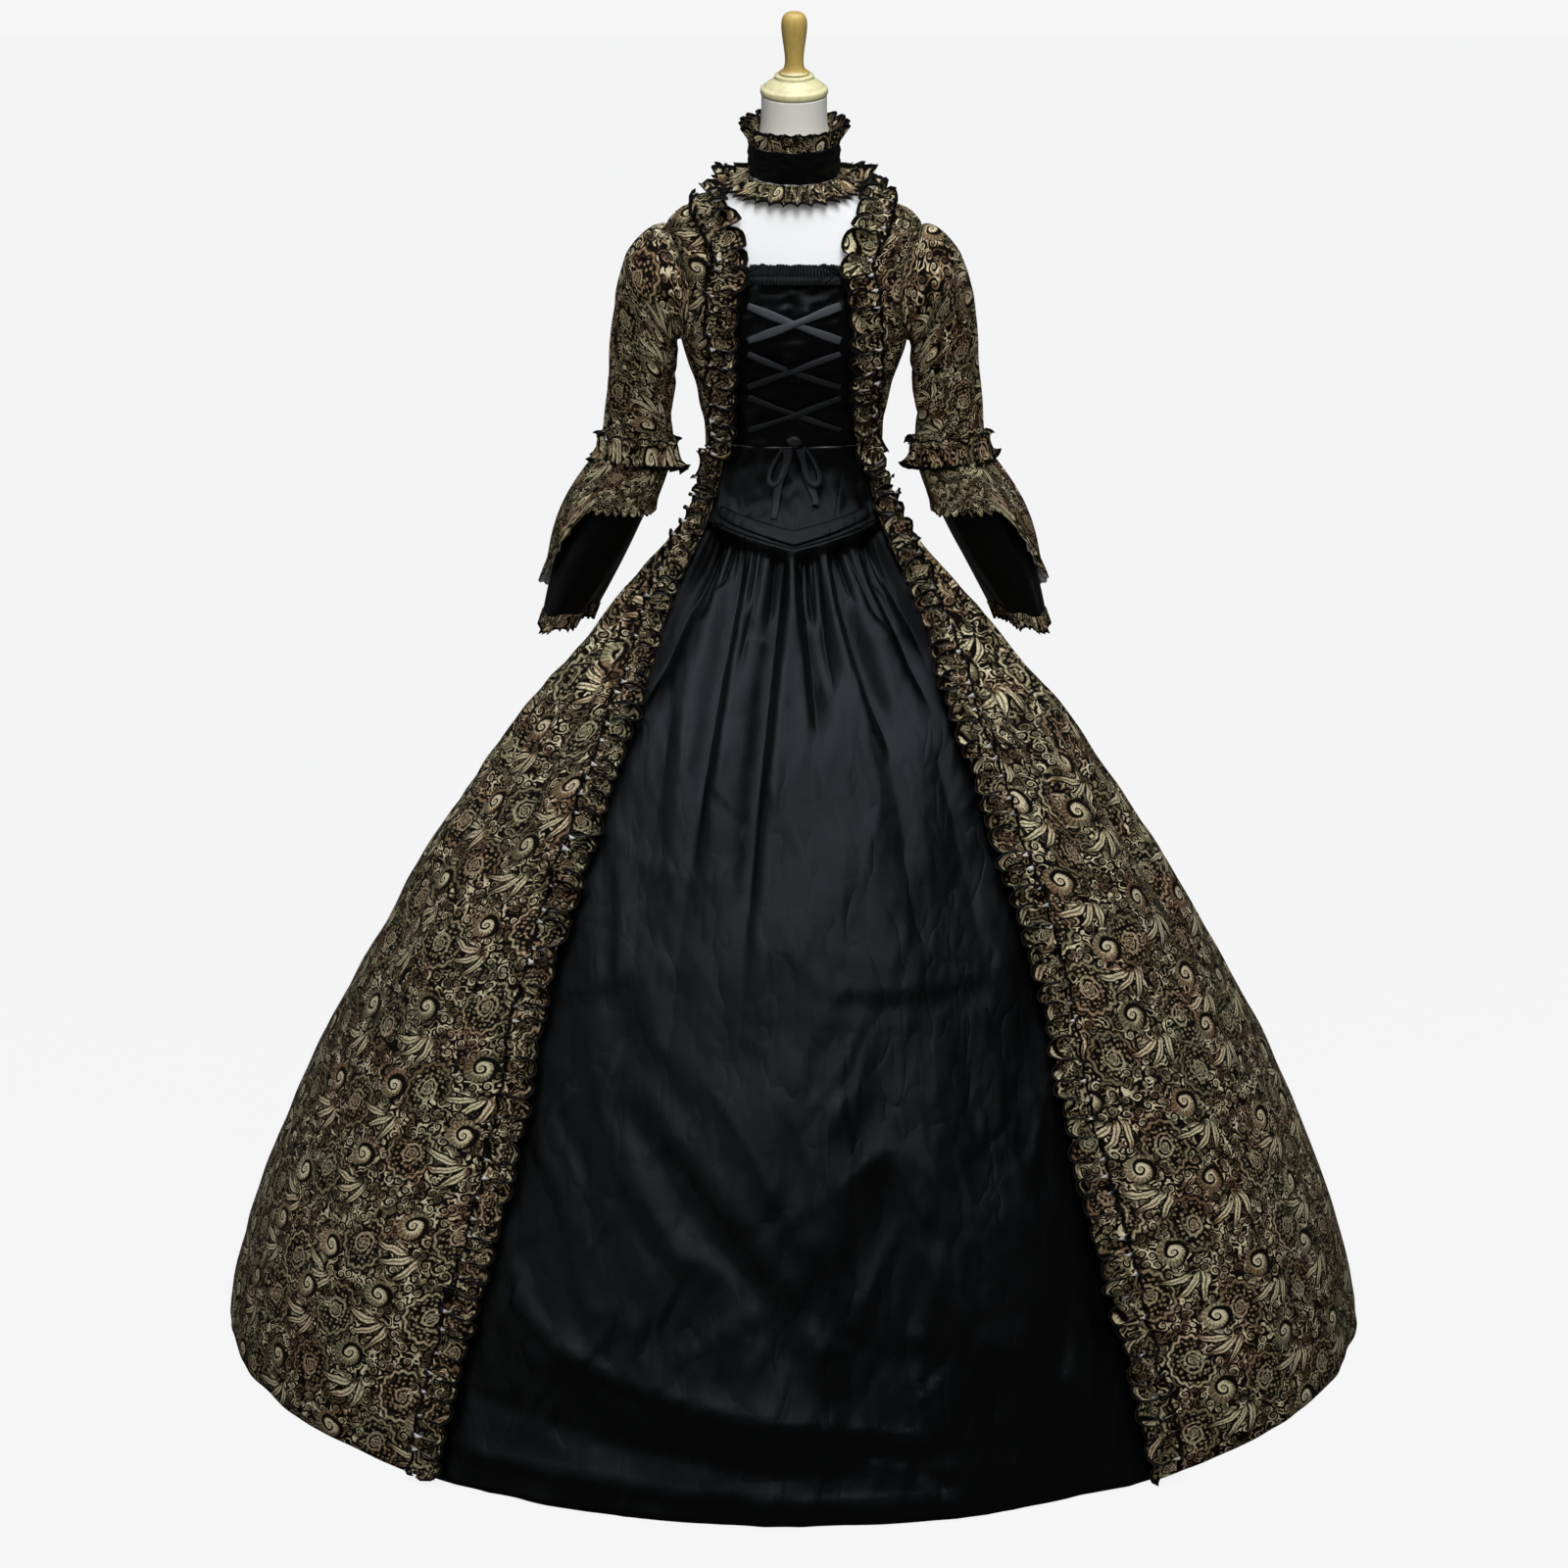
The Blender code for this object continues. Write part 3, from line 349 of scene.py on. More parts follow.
def neck_ring(along, turn, half_width, half_depth, lean):
    """Ring round the leaning neck: how far up it, and its two half sizes."""
    centre_y = NECK_BASE[1] - NECK_LENGTH * along * math.sin(NECK_LEAN)
    centre_z = NECK_BASE[2] + NECK_LENGTH * along * math.cos(NECK_LEAN)
    tilt = NECK_LEAN * lean
    x = half_width * np.sin(turn)
    y = centre_y - half_depth * np.cos(turn) * np.cos(tilt)
    z = centre_z - half_depth * np.cos(turn) * np.sin(tilt)
    return grid(x, y, z)


def ripple(a, b, seed, scale, count=14):
    """Smooth uneven surface from -1 to 1: a sum of sines in seeded directions, of about the given scale."""
    draw = np.random.default_rng(seed)
    heading = draw.uniform(0, FULL_TURN, count)
    rate = FULL_TURN / scale * draw.uniform(0.55, 1.6, count)
    start = draw.uniform(0, FULL_TURN, count)
    weight = draw.uniform(0.5, 1.0, count) / (rate * scale)
    total = 0.0
    for angle, speed, offset, share in zip(heading, rate, start, weight):
        total = total + share * np.sin(speed * (math.cos(angle) * a + math.sin(angle) * b) + offset)
    return total / np.abs(weight).sum() * 2.2


def creases(across, height, rows):
    """Soft troughs along leaning lines: each has a place and height at both ends, a depth and a width."""
    total = np.zeros(np.broadcast(across, height).shape)
    for top_at, top, low_at, low, depth, width in zip(*rows.values()):
        share = (top - height) / (top - low)
        middle = top_at + (low_at - top_at) * np.clip(share, -0.3, 1.3)
        fade = ease((share + 0.12) / 0.22) * ease((1.1 - share) / 0.55)
        away = np.abs(across - middle) / (width * (1 + 0.9 * np.clip(share, 0, 1)))
        total = total + depth * fade * np.exp(-away ** 1.4)
    return total


def strokes(x, z, rows):
    """Folds along bowed lines from one place to another: each has a bow, a depth, a width and a lean.

    Across the line a fold falls off softly on both sides. Lean turns it from a trough into a step, with
    a ridge on one side and a trough on the other.
    """
    total = np.zeros(np.broadcast(x, z).shape)
    for x_start, z_start, x_end, z_end, bow, depth, width, lean in zip(*rows.values()):
        way_x, way_z = x_end - x_start, z_end - z_start
        length = math.hypot(way_x, way_z)
        share = ((x - x_start) * way_x + (z - z_start) * way_z) / length ** 2
        aside = ((x - x_start) * way_z - (z - z_start) * way_x) / length
        away = (aside - 4 * bow * share * (1 - share)) / width
        fade = ease((share + 0.15) / 0.3) * ease((1.15 - share) / 0.4)
        trough = np.exp(-np.abs(away) ** 1.15)
        step = away * np.exp(0.5 - away ** 2 / 2)
        total = total + depth * fade * (trough * (1 - abs(lean)) + step * lean)
    return total


def running(points, axis):
    """Distance travelled along one direction of a grid, from 0 at its start."""
    step = np.linalg.norm(np.diff(points, axis=axis), axis=-1)
    return np.concatenate([np.zeros_like(np.take(step, [0], axis)), np.cumsum(step, axis=axis)], axis=axis)


def around(count):
    """Azimuths of a closed ring."""
    return np.arange(count) * FULL_TURN / count


def grid(*parts):
    """Grid of points from its coordinates, each of which may be a row, a column or one number."""
    return np.stack(np.broadcast_arrays(*parts), axis=-1)


def heading_of(line):
    """Unit vector along a line at each of its points."""
    way = np.gradient(line, axis=0)
    return way / np.linalg.norm(way, axis=-1, keepdims=True)


def grid_mesh(name, points, cut, closed, flip):
    """Mesh over a grid of points; cut is the same grid on the flat cloth in metres, kept as the UV map."""
    rows, columns = points.shape[:2]
    wide = columns if closed else columns - 1
    row, column = np.meshgrid(np.arange(rows - 1), np.arange(wide), indexing="ij")
    follow = (column + 1) % columns
    corners = np.stack([row * columns + column, row * columns + follow,
                        (row + 1) * columns + follow, (row + 1) * columns + column], axis=-1).reshape(-1, 4)
    flat = np.stack([cut[row, column], cut[row, column + 1],
                     cut[row + 1, column + 1], cut[row + 1, column]], axis=-2).reshape(-1, 4, 2)
    if flip:
        corners, flat = corners[:, ::-1], flat[:, ::-1]
    mesh = bpy.data.meshes.new(name)
    mesh.vertices.add(rows * columns)
    mesh.vertices.foreach_set("co", points.reshape(-1).astype(np.float32))
    mesh.loops.add(corners.size)
    mesh.loops.foreach_set("vertex_index", corners.reshape(-1).astype(np.int32))
    mesh.polygons.add(len(corners))
    mesh.polygons.foreach_set("loop_start", np.arange(0, corners.size, 4, dtype=np.int32))
    mesh.update(calc_edges=True)
    mesh.uv_layers.new(name="cut").data.foreach_set("uv", flat.reshape(-1).astype(np.float32))
    mesh.validate()
    mesh.shade_smooth()
    return mesh


# The right side's cloth is cut from another place of the same cloth, not as a mirror image
RIGHT_CUT_SHIFT = 0.43


def sewn(name, points, finish, node, held, rests_on, cut=None, closed=False, flip=False, wall=WALL,
         inside=None, border=None, edged=None):
    """Piece of cloth over a grid of points, with a wall inwards, declared as the sheet that it was cut from.

    Edged gives each row of the grid its nearness to a border with black thread, from 0 to 1.
    """
    across, along = running(points, 1), running(points, 0)
    if cut is None:
        middle = np.median(across[:, -1:]) / 2
        cut = grid(across - across[:, -1:] / 2 + middle, along.mean(axis=1, keepdims=True))
    if closed and cut.shape[1] == points.shape[1]:
        last = cut[:, -1:] + (cut[:, -1:] - cut[:, -2:-1])
        cut = np.concatenate([cut, last], axis=1)
    if "right" in name:
        cut = cut * np.array([-1.0, 1.0]) + RIGHT_CUT_SHIFT
    mesh = grid_mesh(name, points, cut, closed, flip)
    if edged is not None:
        nearness = np.broadcast_to(np.asarray(edged, np.float32)[:, None], points.shape[:2])
        mesh.attributes.new("border", "FLOAT", "POINT").data.foreach_set("value", nearness.reshape(-1).copy())
    for kind in (finish, inside or finish, border or finish):
        mesh.materials.append(bpy.data.materials[kind])
    piece = place(name, mesh, node, SLOT_OF[finish])
    shell = piece.modifiers.new("wall", "SOLIDIFY")
    shell.thickness = wall
    shell.offset = -1.0
    shell.material_offset = 1
    shell.material_offset_rim = 2
    shell.use_even_offset = False


def place(name, mesh, node, slot):
    """Object that stands for one node of the part."""
    piece = bpy.data.objects.new(name, mesh)
    bpy.context.scene.collection.objects.link(piece)
    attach(piece, "root")
    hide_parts(node)
    return piece


def place_hard(name, points, node, finish):
    """Rigid piece over a grid of points that closes round it."""
    rows, columns = points.shape[:2]
    mesh = grid_mesh(name, points, np.zeros((rows, columns + 1, 2)), closed=True, flip=False)
    mesh.materials.append(bpy.data.materials[finish])
    return place(name, mesh, node, SLOT_OF[finish])


def mirrored(points, side):
    """Points made on the wearer's left, mirrored to the right where the side is -1."""
    return points * np.array([side, 1.0, 1.0])


SLOT_OF = {
    "scroll_brocade": "brocade",
    "black_taffeta": "satin",
    "satin_ribbon": "ribbon",
    "form_jersey": "form_cloth",
    "turned_wood": "cap_wood",
}
SIDES = (("left", 1), ("right", -1))

# What pieces of brocade share, and the walls of the thinner pieces
LINED = {"inside": "brocade_wrong_side"}
EDGED = {"border": "picot_thread"}
TRIM_WALL = 0.0008
CHOKER_WALL = 0.0007
RIBBON_WALL = 0.0006
BLACK_TRIM_WALL = 0.0009
BAND_WALL = 0.0010

# Stage: half of the floor's width, where the dome turns bright, the box lights' size, and the gleam's place
FLOOR_REACH = 900.0
DOME_EDGE = 0.89
BOX_SIZE = 1.2
GLEAM_HEIGHT = math.radians(42)
GLEAM_TURN = math.radians(-62)

# Colour of the trims' black thread, which also paints shade in a wide band, threads to the metre, and heights
# between which a colour changes: on the ribbon into painted shade, on the neck into a warmer cover painted
# lighter, on the cap into the finial's wood
BLACK_THREAD_AND_SHADE = (0.004, 0.0035, 0.003, 1)
BROCADE_THREADS = 900.0
TAFFETA_THREADS = 1400.0
RIBBON_SHADE_HEIGHTS = (1.290, 1.225)
NECK_TINT_AND_LIGHT_HEIGHTS = (1.452, 1.485)
CAP_FADE = (1.5905, 1.5935)


class Net:
    """Nodes of one tree, written as short sums; each argument is a number, a tuple or a socket."""

    def __init__(self, tree):
        self.tree = tree

    def feed(self, socket, value):
        if isinstance(value, bpy.types.NodeSocket):
            self.tree.links.new(value, socket)
        elif value is not None:
            socket.default_value = value

    def fill(self, node, **inputs):
        """Values for a node's inputs by their names, with _ for a space."""
        for name, value in inputs.items():
            self.feed(node.inputs[name.replace("_", " ")], value)
        return node

    def add(self, kind, *values, **settings):
        node = self.tree.nodes.new(kind)
        for key, setting in settings.items():
            setattr(node, key, setting)
        for socket, value in zip(node.inputs, values):
            self.feed(socket, value)
        return node

    def math(self, operation, *values):
        return self.add("ShaderNodeMath", *values, operation=operation).outputs[0]

    def plus(self, a, b):
        return self.math("ADD", a, b)

    def minus(self, a, b):
        return self.math("SUBTRACT", a, b)

    def times(self, a, b):
        return self.math("MULTIPLY", a, b)

    def scaled(self, value, factor, offset):
        """A value times a factor, plus an offset."""
        return self.math("MULTIPLY_ADD", value, factor, offset)

    def vector(self, operation, *values):
        return self.add("ShaderNodeVectorMath", *values, operation=operation).outputs[0]

    def length(self, vector):
        return self.add("ShaderNodeVectorMath", vector, operation="LENGTH").outputs["Value"]

    def split(self, vector):
        """Sockets of a vector's three parts."""
        return self.add("ShaderNodeSeparateXYZ", vector).outputs

    def join(self, x, y):
        """Flat vector of two parts."""
        return self.add("ShaderNodeCombineXYZ", x, y, 0.0).outputs[0]

    def step(self, value, low, high):
        """Smooth step of a value from 0 at low to 1 at high."""
        node = self.add("ShaderNodeMapRange", value, low, high, 0.0, 1.0, interpolation_type="SMOOTHSTEP")
        return node.outputs[0]

    def mix(self, share, a, b):
        """Colour between two colours."""
        node = self.add("ShaderNodeMix", data_type="RGBA")
        for number, value in ((0, share), (6, a), (7, b)):
            self.feed(node.inputs[number], value)
        return node.outputs[2]

    def noise(self, vector, scale, detail=2.0, roughness=0.5, output="Fac"):
        node = self.add("ShaderNodeTexNoise")
        return self.fill(node, Vector=vector, Scale=scale, Detail=detail, Roughness=roughness).outputs[output]

    def mapped(self, vector, rotation=(0, 0, 0), scale=(1, 1, 1)):
        return self.add("ShaderNodeMapping", vector, (0, 0, 0), rotation, scale).outputs[0]

    def group(self, tree, **inputs):
        return self.fill(self.add("ShaderNodeGroup", node_tree=tree), **inputs)

    def place(self):
        """Place on the object, in metres."""
        return self.add("ShaderNodeTexCoord").outputs["Object"]


def new_group(name, inputs, outputs):
    """Empty node group with named sockets; the pairs are name and kind, with a default for an input."""
    tree = bpy.data.node_groups.new(name, "ShaderNodeTree")
    for label, kind, default in inputs:
        socket = tree.interface.new_socket(label, in_out="INPUT", socket_type="NodeSocket" + kind)
        if default is not None:
            socket.default_value = default
    for label, kind in outputs:
        tree.interface.new_socket(label, in_out="OUTPUT", socket_type="NodeSocket" + kind)
    return tree, tree.nodes.new("NodeGroupInput"), tree.nodes.new("NodeGroupOutput"), Net(tree)


def curl_group():
    """Curl round a point: arms wind in by a logarithmic spiral, inside an outline that steps at its mouth."""
    tree, given, result, net = new_group(
        "curl",
        (("Vector", "Vector", None), ("Radius", "Float", 0.02), ("Growth", "Float", 2.2),
         ("Turn", "Float", 0.0), ("Stroke", "Float", 0.26)),
        (("Line", "Float"), ("Inside", "Float"), ("Angle", "Float"), ("Radius", "Float")))
    split = net.split(given.outputs["Vector"])
    angle = net.math("DIVIDE", net.math("ARCTAN2", split[1], split[0]), FULL_TURN)
    flat = net.join(split[0], split[1])
    radius = net.length(flat)
    share = net.math("DIVIDE", net.math("MAXIMUM", radius, 1e-5), given.outputs["Radius"])
    turned = net.math("FRACT", net.plus(net.plus(angle, given.outputs["Turn"]), 4.0))
    wound = net.plus(net.math("LOGARITHM", share, given.outputs["Growth"]), turned)
    off = net.math("ABSOLUTE", net.minus(net.math("FRACT", net.plus(wound, 20.0)), 0.5))
    edge = net.minus(given.outputs["Stroke"], off)
    line = net.step(edge, -0.07, 0.07)
    inside = net.step(share, 1.04, 0.96)
    for socket, value in zip(result.inputs, (line, inside, turned, share)):
        net.feed(socket, value)
    return tree


def scroll_group(curl):
    """Scroll brocade as a brightness from 0 to 1, drawn on the flat cloth in metres.

    Squiggles and dots fill the ground. Over them lie big scalloped rings, and curls with a bright heart
    and a fan of curved leaves under them, both on half-drop repeats.
    """
    tree, given, result, net = new_group("scroll_pattern", (("Cut", "Vector", None),), (("Tone", "Float"),))
    wobble = net.noise(given.outputs["Cut"], 42.0, 1.0, output="Color")
    moved = net.vector("SUBTRACT", wobble, (0.5, 0.5, 0.5))
    shift = net.fill(net.add("ShaderNodeVectorMath", moved, operation="SCALE"), Scale=0.010)
    cloth = net.mapped(net.vector("ADD", given.outputs["Cut"], shift.outputs[0]), scale=(0.84, 1.0, 1.0))

    def cells(spacing, randomness, shear=0.0, offset=(0.0, 0.0, 0.0)):
        """Vector from the nearest cell's middle, and one random number of the cell."""
        split = net.split(net.vector("ADD", cloth, offset))
        leaned = net.plus(split[1], net.times(split[0], shear))
        sheared = net.join(split[0], leaned)
        cell = net.add("ShaderNodeTexVoronoi", voronoi_dimensions="2D")
        net.fill(cell, Vector=sheared, Scale=1.0 / spacing, Randomness=randomness)
        local = net.split(net.vector("SUBTRACT", sheared, cell.outputs["Position"]))
        level = net.minus(local[1], net.times(local[0], shear))
        chance = net.add("ShaderNodeSeparateColor", cell.outputs["Color"])
        return net.join(local[0], level), chance.outputs[0]

    def over(below, mask, above):
        """A tone laid over another where its mask is 1."""
        return net.scaled(mask, net.minus(above, below), below)

    def product(*values):
        total = values[0]
        for value in values[1:]:
            total = net.times(total, value)
        return total

    def band(value, low, high, soft):
        """1 between two values, with soft ends."""
        return product(net.step(value, low - soft, low + soft), net.step(value, high + soft, high - soft))

    squiggle = net.noise(cloth, 78.0, 1.0, 0.4)
    contour = net.math("FRACT", net.times(squiggle, 5.0))
    stroke = net.step(net.math("ABSOLUTE", net.minus(contour, 0.5)), 0.22, 0.36)
    local, chance = cells(0.0145, 0.9, offset=(0.171, 0.12, 0.0))
    small = net.group(curl, Vector=local, Turn=chance, Radius=0.0070, Growth=3.0, Stroke=0.22)
    fill = over(stroke, net.times(small.outputs["Inside"], 0.9), small.outputs["Line"])
    patch = net.step(net.noise(given.outputs["Cut"], 55.0, 2.0), 0.36, 0.64)
    tone = net.scaled(fill, net.scaled(patch, 0.62, 0.30), 0.0)

    local, chance = cells(0.102, 0.35, shear=0.5, offset=(0.047, 0.026, 0.0))
    split = net.split(local)
    round_it = net.join(split[0], net.times(split[1], 0.82))
    ring = net.group(curl, Vector=round_it, Turn=chance, Radius=0.027, Growth=1.9, Stroke=0.22)
    teeth = net.math("SINE", net.times(ring.outputs["Angle"], FULL_TURN * 15))
    edge = net.scaled(teeth, 0.05, ring.outputs["Radius"])
    gap = band(ring.outputs["Angle"], 0.08, 0.90, 0.03)
    tone = over(tone, product(band(edge, 0.82, 1.12, 0.04), gap, 0.8), 0.03)
    tone = over(tone, product(band(edge, 0.91, 1.03, 0.04), gap), net.scaled(chance, 0.35, 0.38))
    dots, chance = cells(0.0062, 0.5)
    dot = net.length(dots)
    dotted = net.scaled(net.step(dot, 0.0023, 0.0012), 0.5, 0.05)
    tone = over(tone, product(net.step(ring.outputs["Radius"], 0.82, 0.76), gap), dotted)
    tone = over(tone, product(ring.outputs["Line"], net.step(ring.outputs["Radius"], 0.55, 0.45)), 0.62)

    local, chance = cells(0.102, 0.35, shear=0.5)
    turn = net.scaled(chance, 0.14, 0.06)
    fan = net.group(curl, Vector=net.vector("SUBTRACT", local, (0.014, -0.006, 0.0)), Turn=turn,
                    Radius=0.054, Growth=2.6, Stroke=0.25)
    spokes = net.scaled(net.math("LOGARITHM", fan.outputs["Radius"], 2.0), 0.8,
                      net.times(fan.outputs["Angle"], 10.0))
    spoke = net.math("ABSOLUTE", net.minus(net.math("FRACT", net.plus(spokes, 20.0)), 0.5))
    taper = net.step(fan.outputs["Radius"], 1.05, 0.3)
    width = net.minus(net.times(taper, 0.36), spoke)
    belt = band(fan.outputs["Radius"], 0.27, 0.86, 0.06)
    leaf_area = product(band(fan.outputs["Angle"], 0.66, 0.97, 0.03), belt)
    tone = over(tone, product(leaf_area, net.step(width, -0.15, -0.08)), 0.02)
    vein = net.scaled(net.step(spoke, 0.02, 0.10), 0.45, 0.38)
    tone = over(tone, product(leaf_area, net.step(width, -0.04, 0.05)), vein)

    big = net.group(curl, Vector=net.vector("SUBTRACT", local, (0.0, 0.016, 0.0)), Turn=turn,
                    Radius=0.0185, Growth=3.9, Stroke=0.32)
    ribs = net.math("SINE", net.times(big.outputs["Angle"], FULL_TURN * 19))
    heart = net.step(big.outputs["Radius"], 0.75, 0.30)
    lit = net.scaled(chance, 0.22, 0.28)
    body = net.plus(net.scaled(heart, 0.50, lit), net.times(ribs, 0.12))
    snail = net.scaled(big.outputs["Line"], body, 0.05)
    tone = over(tone, big.outputs["Inside"], snail)
    net.feed(result.inputs[0], tone)
    return tree


def weave_group():
    """Plain weave: two crossed sets of rounded threads, as a height from 0 to 1."""
    tree, given, result, net = new_group(
        "weave", (("Cut", "Vector", None), ("Threads", "Float", 900.0)), (("Height", "Float"),))
    split = net.split(given.outputs["Cut"])
    waves = []
    for axis in (0, 1):
        along = net.times(split[axis], given.outputs["Threads"])
        waves.append(net.math("SINE", net.times(along, FULL_TURN)))
    net.feed(result.inputs[0], net.plus(net.times(net.times(*waves), 0.5), 0.5))
    return tree


def crumple_group():
    """Crumple of crisp cloth: sharp-edged creases from stretched noise in two directions, as a height."""
    tree, given, result, net = new_group(
        "crumple", (("Cut", "Vector", None), ("Scale", "Float", 9.0)), (("Height", "Float"),))
    total = None
    for turn, stretch, weight in ((0.5, 0.45, 1.0), (-0.7, 0.4, 0.8), (1.45, 0.5, 0.5)):
        place = net.mapped(given.outputs["Cut"], rotation=(0, 0, turn), scale=(1.0, stretch, 1.0))
        value = net.noise(place, given.outputs["Scale"], 3.0, 0.55)
        ridge = net.math("ABSOLUTE", net.minus(value, 0.5))
        height = net.times(net.math("POWER", ridge, 0.7), weight)
        total = height if total is None else net.plus(total, height)
    net.feed(result.inputs[0], total)
    return tree


def new_material(name):
    """Net and shader of a new material."""
    made = bpy.data.materials.new(name)
    made.use_nodes = True
    return Net(made.node_tree), made.node_tree.nodes["Principled BSDF"]


def bump(net, shader, height, strength, distance):
    """Relief from a height."""
    node = net.fill(net.add("ShaderNodeBump"), Height=height, Strength=strength, Distance=distance)
    net.fill(shader, Normal=node.outputs["Normal"])


def cut_of(net):
    """Place on the flat cloth, in metres."""
    return net.add("ShaderNodeUVMap", uv_map="cut").outputs["UV"]


def black_edge_and_shade(net, cut, color):
    """A colour that gives way to black thread at the border of a frill."""
    border = net.add("ShaderNodeAttribute", attribute_name="border").outputs["Fac"]
    # Black thread at the border, widened into a band that also paints the shade of the curled frills
    edge = net.step(net.scaled(net.noise(cut, 260.0, 1.0), 0.24, border), 0.90, 0.97)
    return net.mix(edge, color, BLACK_THREAD_AND_SHADE)


def brocade(groups, look):
    """Woven scrolls of pale, olive and brown threads over a near-black ground; black thread along frills."""
    net, shader = new_material("scroll_brocade")
    cut = cut_of(net)
    pattern = net.group(groups["scroll"], Cut=cut).outputs["Tone"]
    weave = net.group(groups["weave"], Cut=cut, Threads=BROCADE_THREADS).outputs["Height"]
    hue = net.step(net.noise(cut, 13.0, 3.0, 0.6), 0.40, 0.60)
    tone = net.times(pattern, net.scaled(net.noise(cut, 330.0), 1.5, 0.25))
    color = net.mix(hue, look.brown_thread, look.olive_thread)
    color = net.mix(net.step(tone, 0.04, 0.60), look.ground, color)
    color = net.mix(net.step(tone, 0.46, 0.98), color, look.pale_thread)
    net.fill(shader, Base_Color=black_edge_and_shade(net, cut, color), Specular_IOR_Level=0.10,
             Roughness=net.minus(0.80, net.times(tone, 0.25)))
    bump(net, shader, net.scaled(tone, 0.8, net.times(weave, 0.3)), 0.7, 0.0009)


def wrong_side(groups, look):
    """Off-white back of the brocade, with the pattern showing through faintly; black thread along frills."""
    net, shader = new_material("brocade_wrong_side")
    cut = cut_of(net)
    pattern = net.group(groups["scroll"], Cut=cut).outputs["Tone"]
    weave = net.group(groups["weave"], Cut=cut, Threads=BROCADE_THREADS).outputs["Height"]
    color = net.mix(net.times(pattern, 0.5), look.wrong_side, look.brown_thread)
    net.fill(shader, Base_Color=black_edge_and_shade(net, cut, color), Roughness=0.8)
    bump(net, shader, weave, 0.4, 0.0005)


def picot():
    """Black overlocked border of the gathered trims."""
    net, shader = new_material("picot_thread")
    beads = net.noise(cut_of(net), 700.0, 1.0)
    color = net.mix(beads, (0.004, 0.004, 0.004, 1), (0.03, 0.027, 0.022, 1))
    net.fill(shader, Base_Color=color, Roughness=0.7)
    bump(net, shader, beads, 0.6, 0.0006)


def taffeta(groups, look, name, color, sheen, crumple):
    """Crisp black cloth with fine crumples and a fine cross weave; the ribbon is paler high up."""
    net, shader = new_material(name)
    cut = cut_of(net)
    crumpled = net.group(groups["crumple"], Cut=cut, Scale=9.0).outputs["Height"]
    weave = net.group(groups["weave"], Cut=cut, Threads=TAFFETA_THREADS).outputs["Height"]
    if name == "satin_ribbon":
        # Painted shade: below its upper lacing the ribbon darkens to about a fifth of its colour, standing in
        # for light that falls off downward
        deep = 0.22
        patch = net.step(net.split(net.place())[2], *RIBBON_SHADE_HEIGHTS)
    else:
        deep = 0.55
        patch = net.step(net.noise(cut, 5.0, 3.0, 0.6), 0.35, 0.65)
    dark = tuple(part * deep for part in color[:3]) + (1.0,)
    net.fill(shader, Base_Color=net.mix(patch, color, dark), Specular_IOR_Level=0.27,
             Roughness=net.scaled(net.noise(cut, 14.0, 3.0), 0.20, 0.23), Specular_Tint=look.sheen_tint,
             Sheen_Weight=sheen, Sheen_Roughness=0.35, Sheen_Tint=look.sheen_tint)
    bump(net, shader, net.plus(net.times(crumpled, crumple), net.times(weave, 0.01)), 0.8, 0.012)


def jersey(look):
    """Smooth white knit cover, a little cooler and greyer on the neck."""
    net, shader = new_material("form_jersey")
    place = net.place()
    split = net.split(place)
    neck = net.step(split[2], *NECK_TINT_AND_LIGHT_HEIGHTS)
    # Painted light: the neck's colour is lighter than the cover below, besides being warmer
    color = net.mix(neck, look.form_color, look.neck_tint_and_light)
    net.fill(shader, Base_Color=color, Roughness=0.85, Sheen_Weight=0.15)
    ribs = net.math("SINE", net.times(net.plus(split[2], split[0]), 5200.0))
    bump(net, shader, net.plus(net.times(ribs, 0.3), net.noise(place, 60.0, 3.0)), 0.25, 0.0008)


def wood(look):
    """Pale varnished wood with upright grain; the finial is browner than the cap below it."""
    net, shader = new_material("turned_wood")
    place = net.place()
    grain = net.noise(net.mapped(place, rotation=(-NECK_LEAN, 0, 0), scale=(1.0, 1.0, 0.06)), 260.0, 4.0, 0.6)
    rings = net.noise(net.mapped(place, scale=(1.0, 1.0, 0.25)), 45.0)
    upper = net.step(net.split(place)[2], *CAP_FADE)
    pale = net.mix(upper, look.cap_color, look.finial_color)
    dark = net.mix(upper, (0.50, 0.40, 0.20, 1), (0.20, 0.12, 0.035, 1))
    share = net.plus(net.times(net.step(grain, 0.45, 0.75), 0.35), net.times(net.step(rings, 0.5, 0.8), 0.25))
    color = net.mix(share, pale, dark)
    net.fill(shader, Base_Color=color, Roughness=0.42, Coat_Weight=0.25, Coat_Roughness=0.25)
    bump(net, shader, grain, 0.25, 0.0006)


def stand_paint():
    """Light grey paint with a fine orange peel."""
    net, shader = new_material("stand_paint")
    place = net.place()
    peel = net.noise(place, 500.0)
    worn = net.step(net.noise(place, 30.0, 4.0), 0.62, 0.72)
    net.fill(shader, Base_Color=net.mix(worn, (0.66, 0.66, 0.65, 1), (0.50, 0.50, 0.49, 1)), Metallic=0.0,
             Roughness=net.plus(0.35, net.times(peel, 0.2)))
    bump(net, shader, peel, 0.15, 0.0005)


# Folds of the overskirt's left panel: places run from 0 at the front edge to 1 at the side-back seam
SIDE_PANEL_FOLDS = table(
    "top_at top low_at low depth width",
    (0.16, 1.115, 0.13, 0.70, 0.0060, 0.030),
    (0.26, 1.125, 0.22, 0.52, 0.0090, 0.034),
    (0.37, 1.118, 0.34, 0.63, 0.0075, 0.030),
    (0.47, 1.125, 0.43, 0.42, 0.0105, 0.036),
    (0.58, 1.120, 0.56, 0.60, 0.0085, 0.030),
    (0.67, 1.125, 0.66, 0.38, 0.0110, 0.038),
    (0.77, 1.118, 0.78, 0.58, 0.0080, 0.030),
    (0.86, 1.125, 0.88, 0.44, 0.0100, 0.034),
    (0.94, 1.120, 0.95, 0.66, 0.0070, 0.026),
)
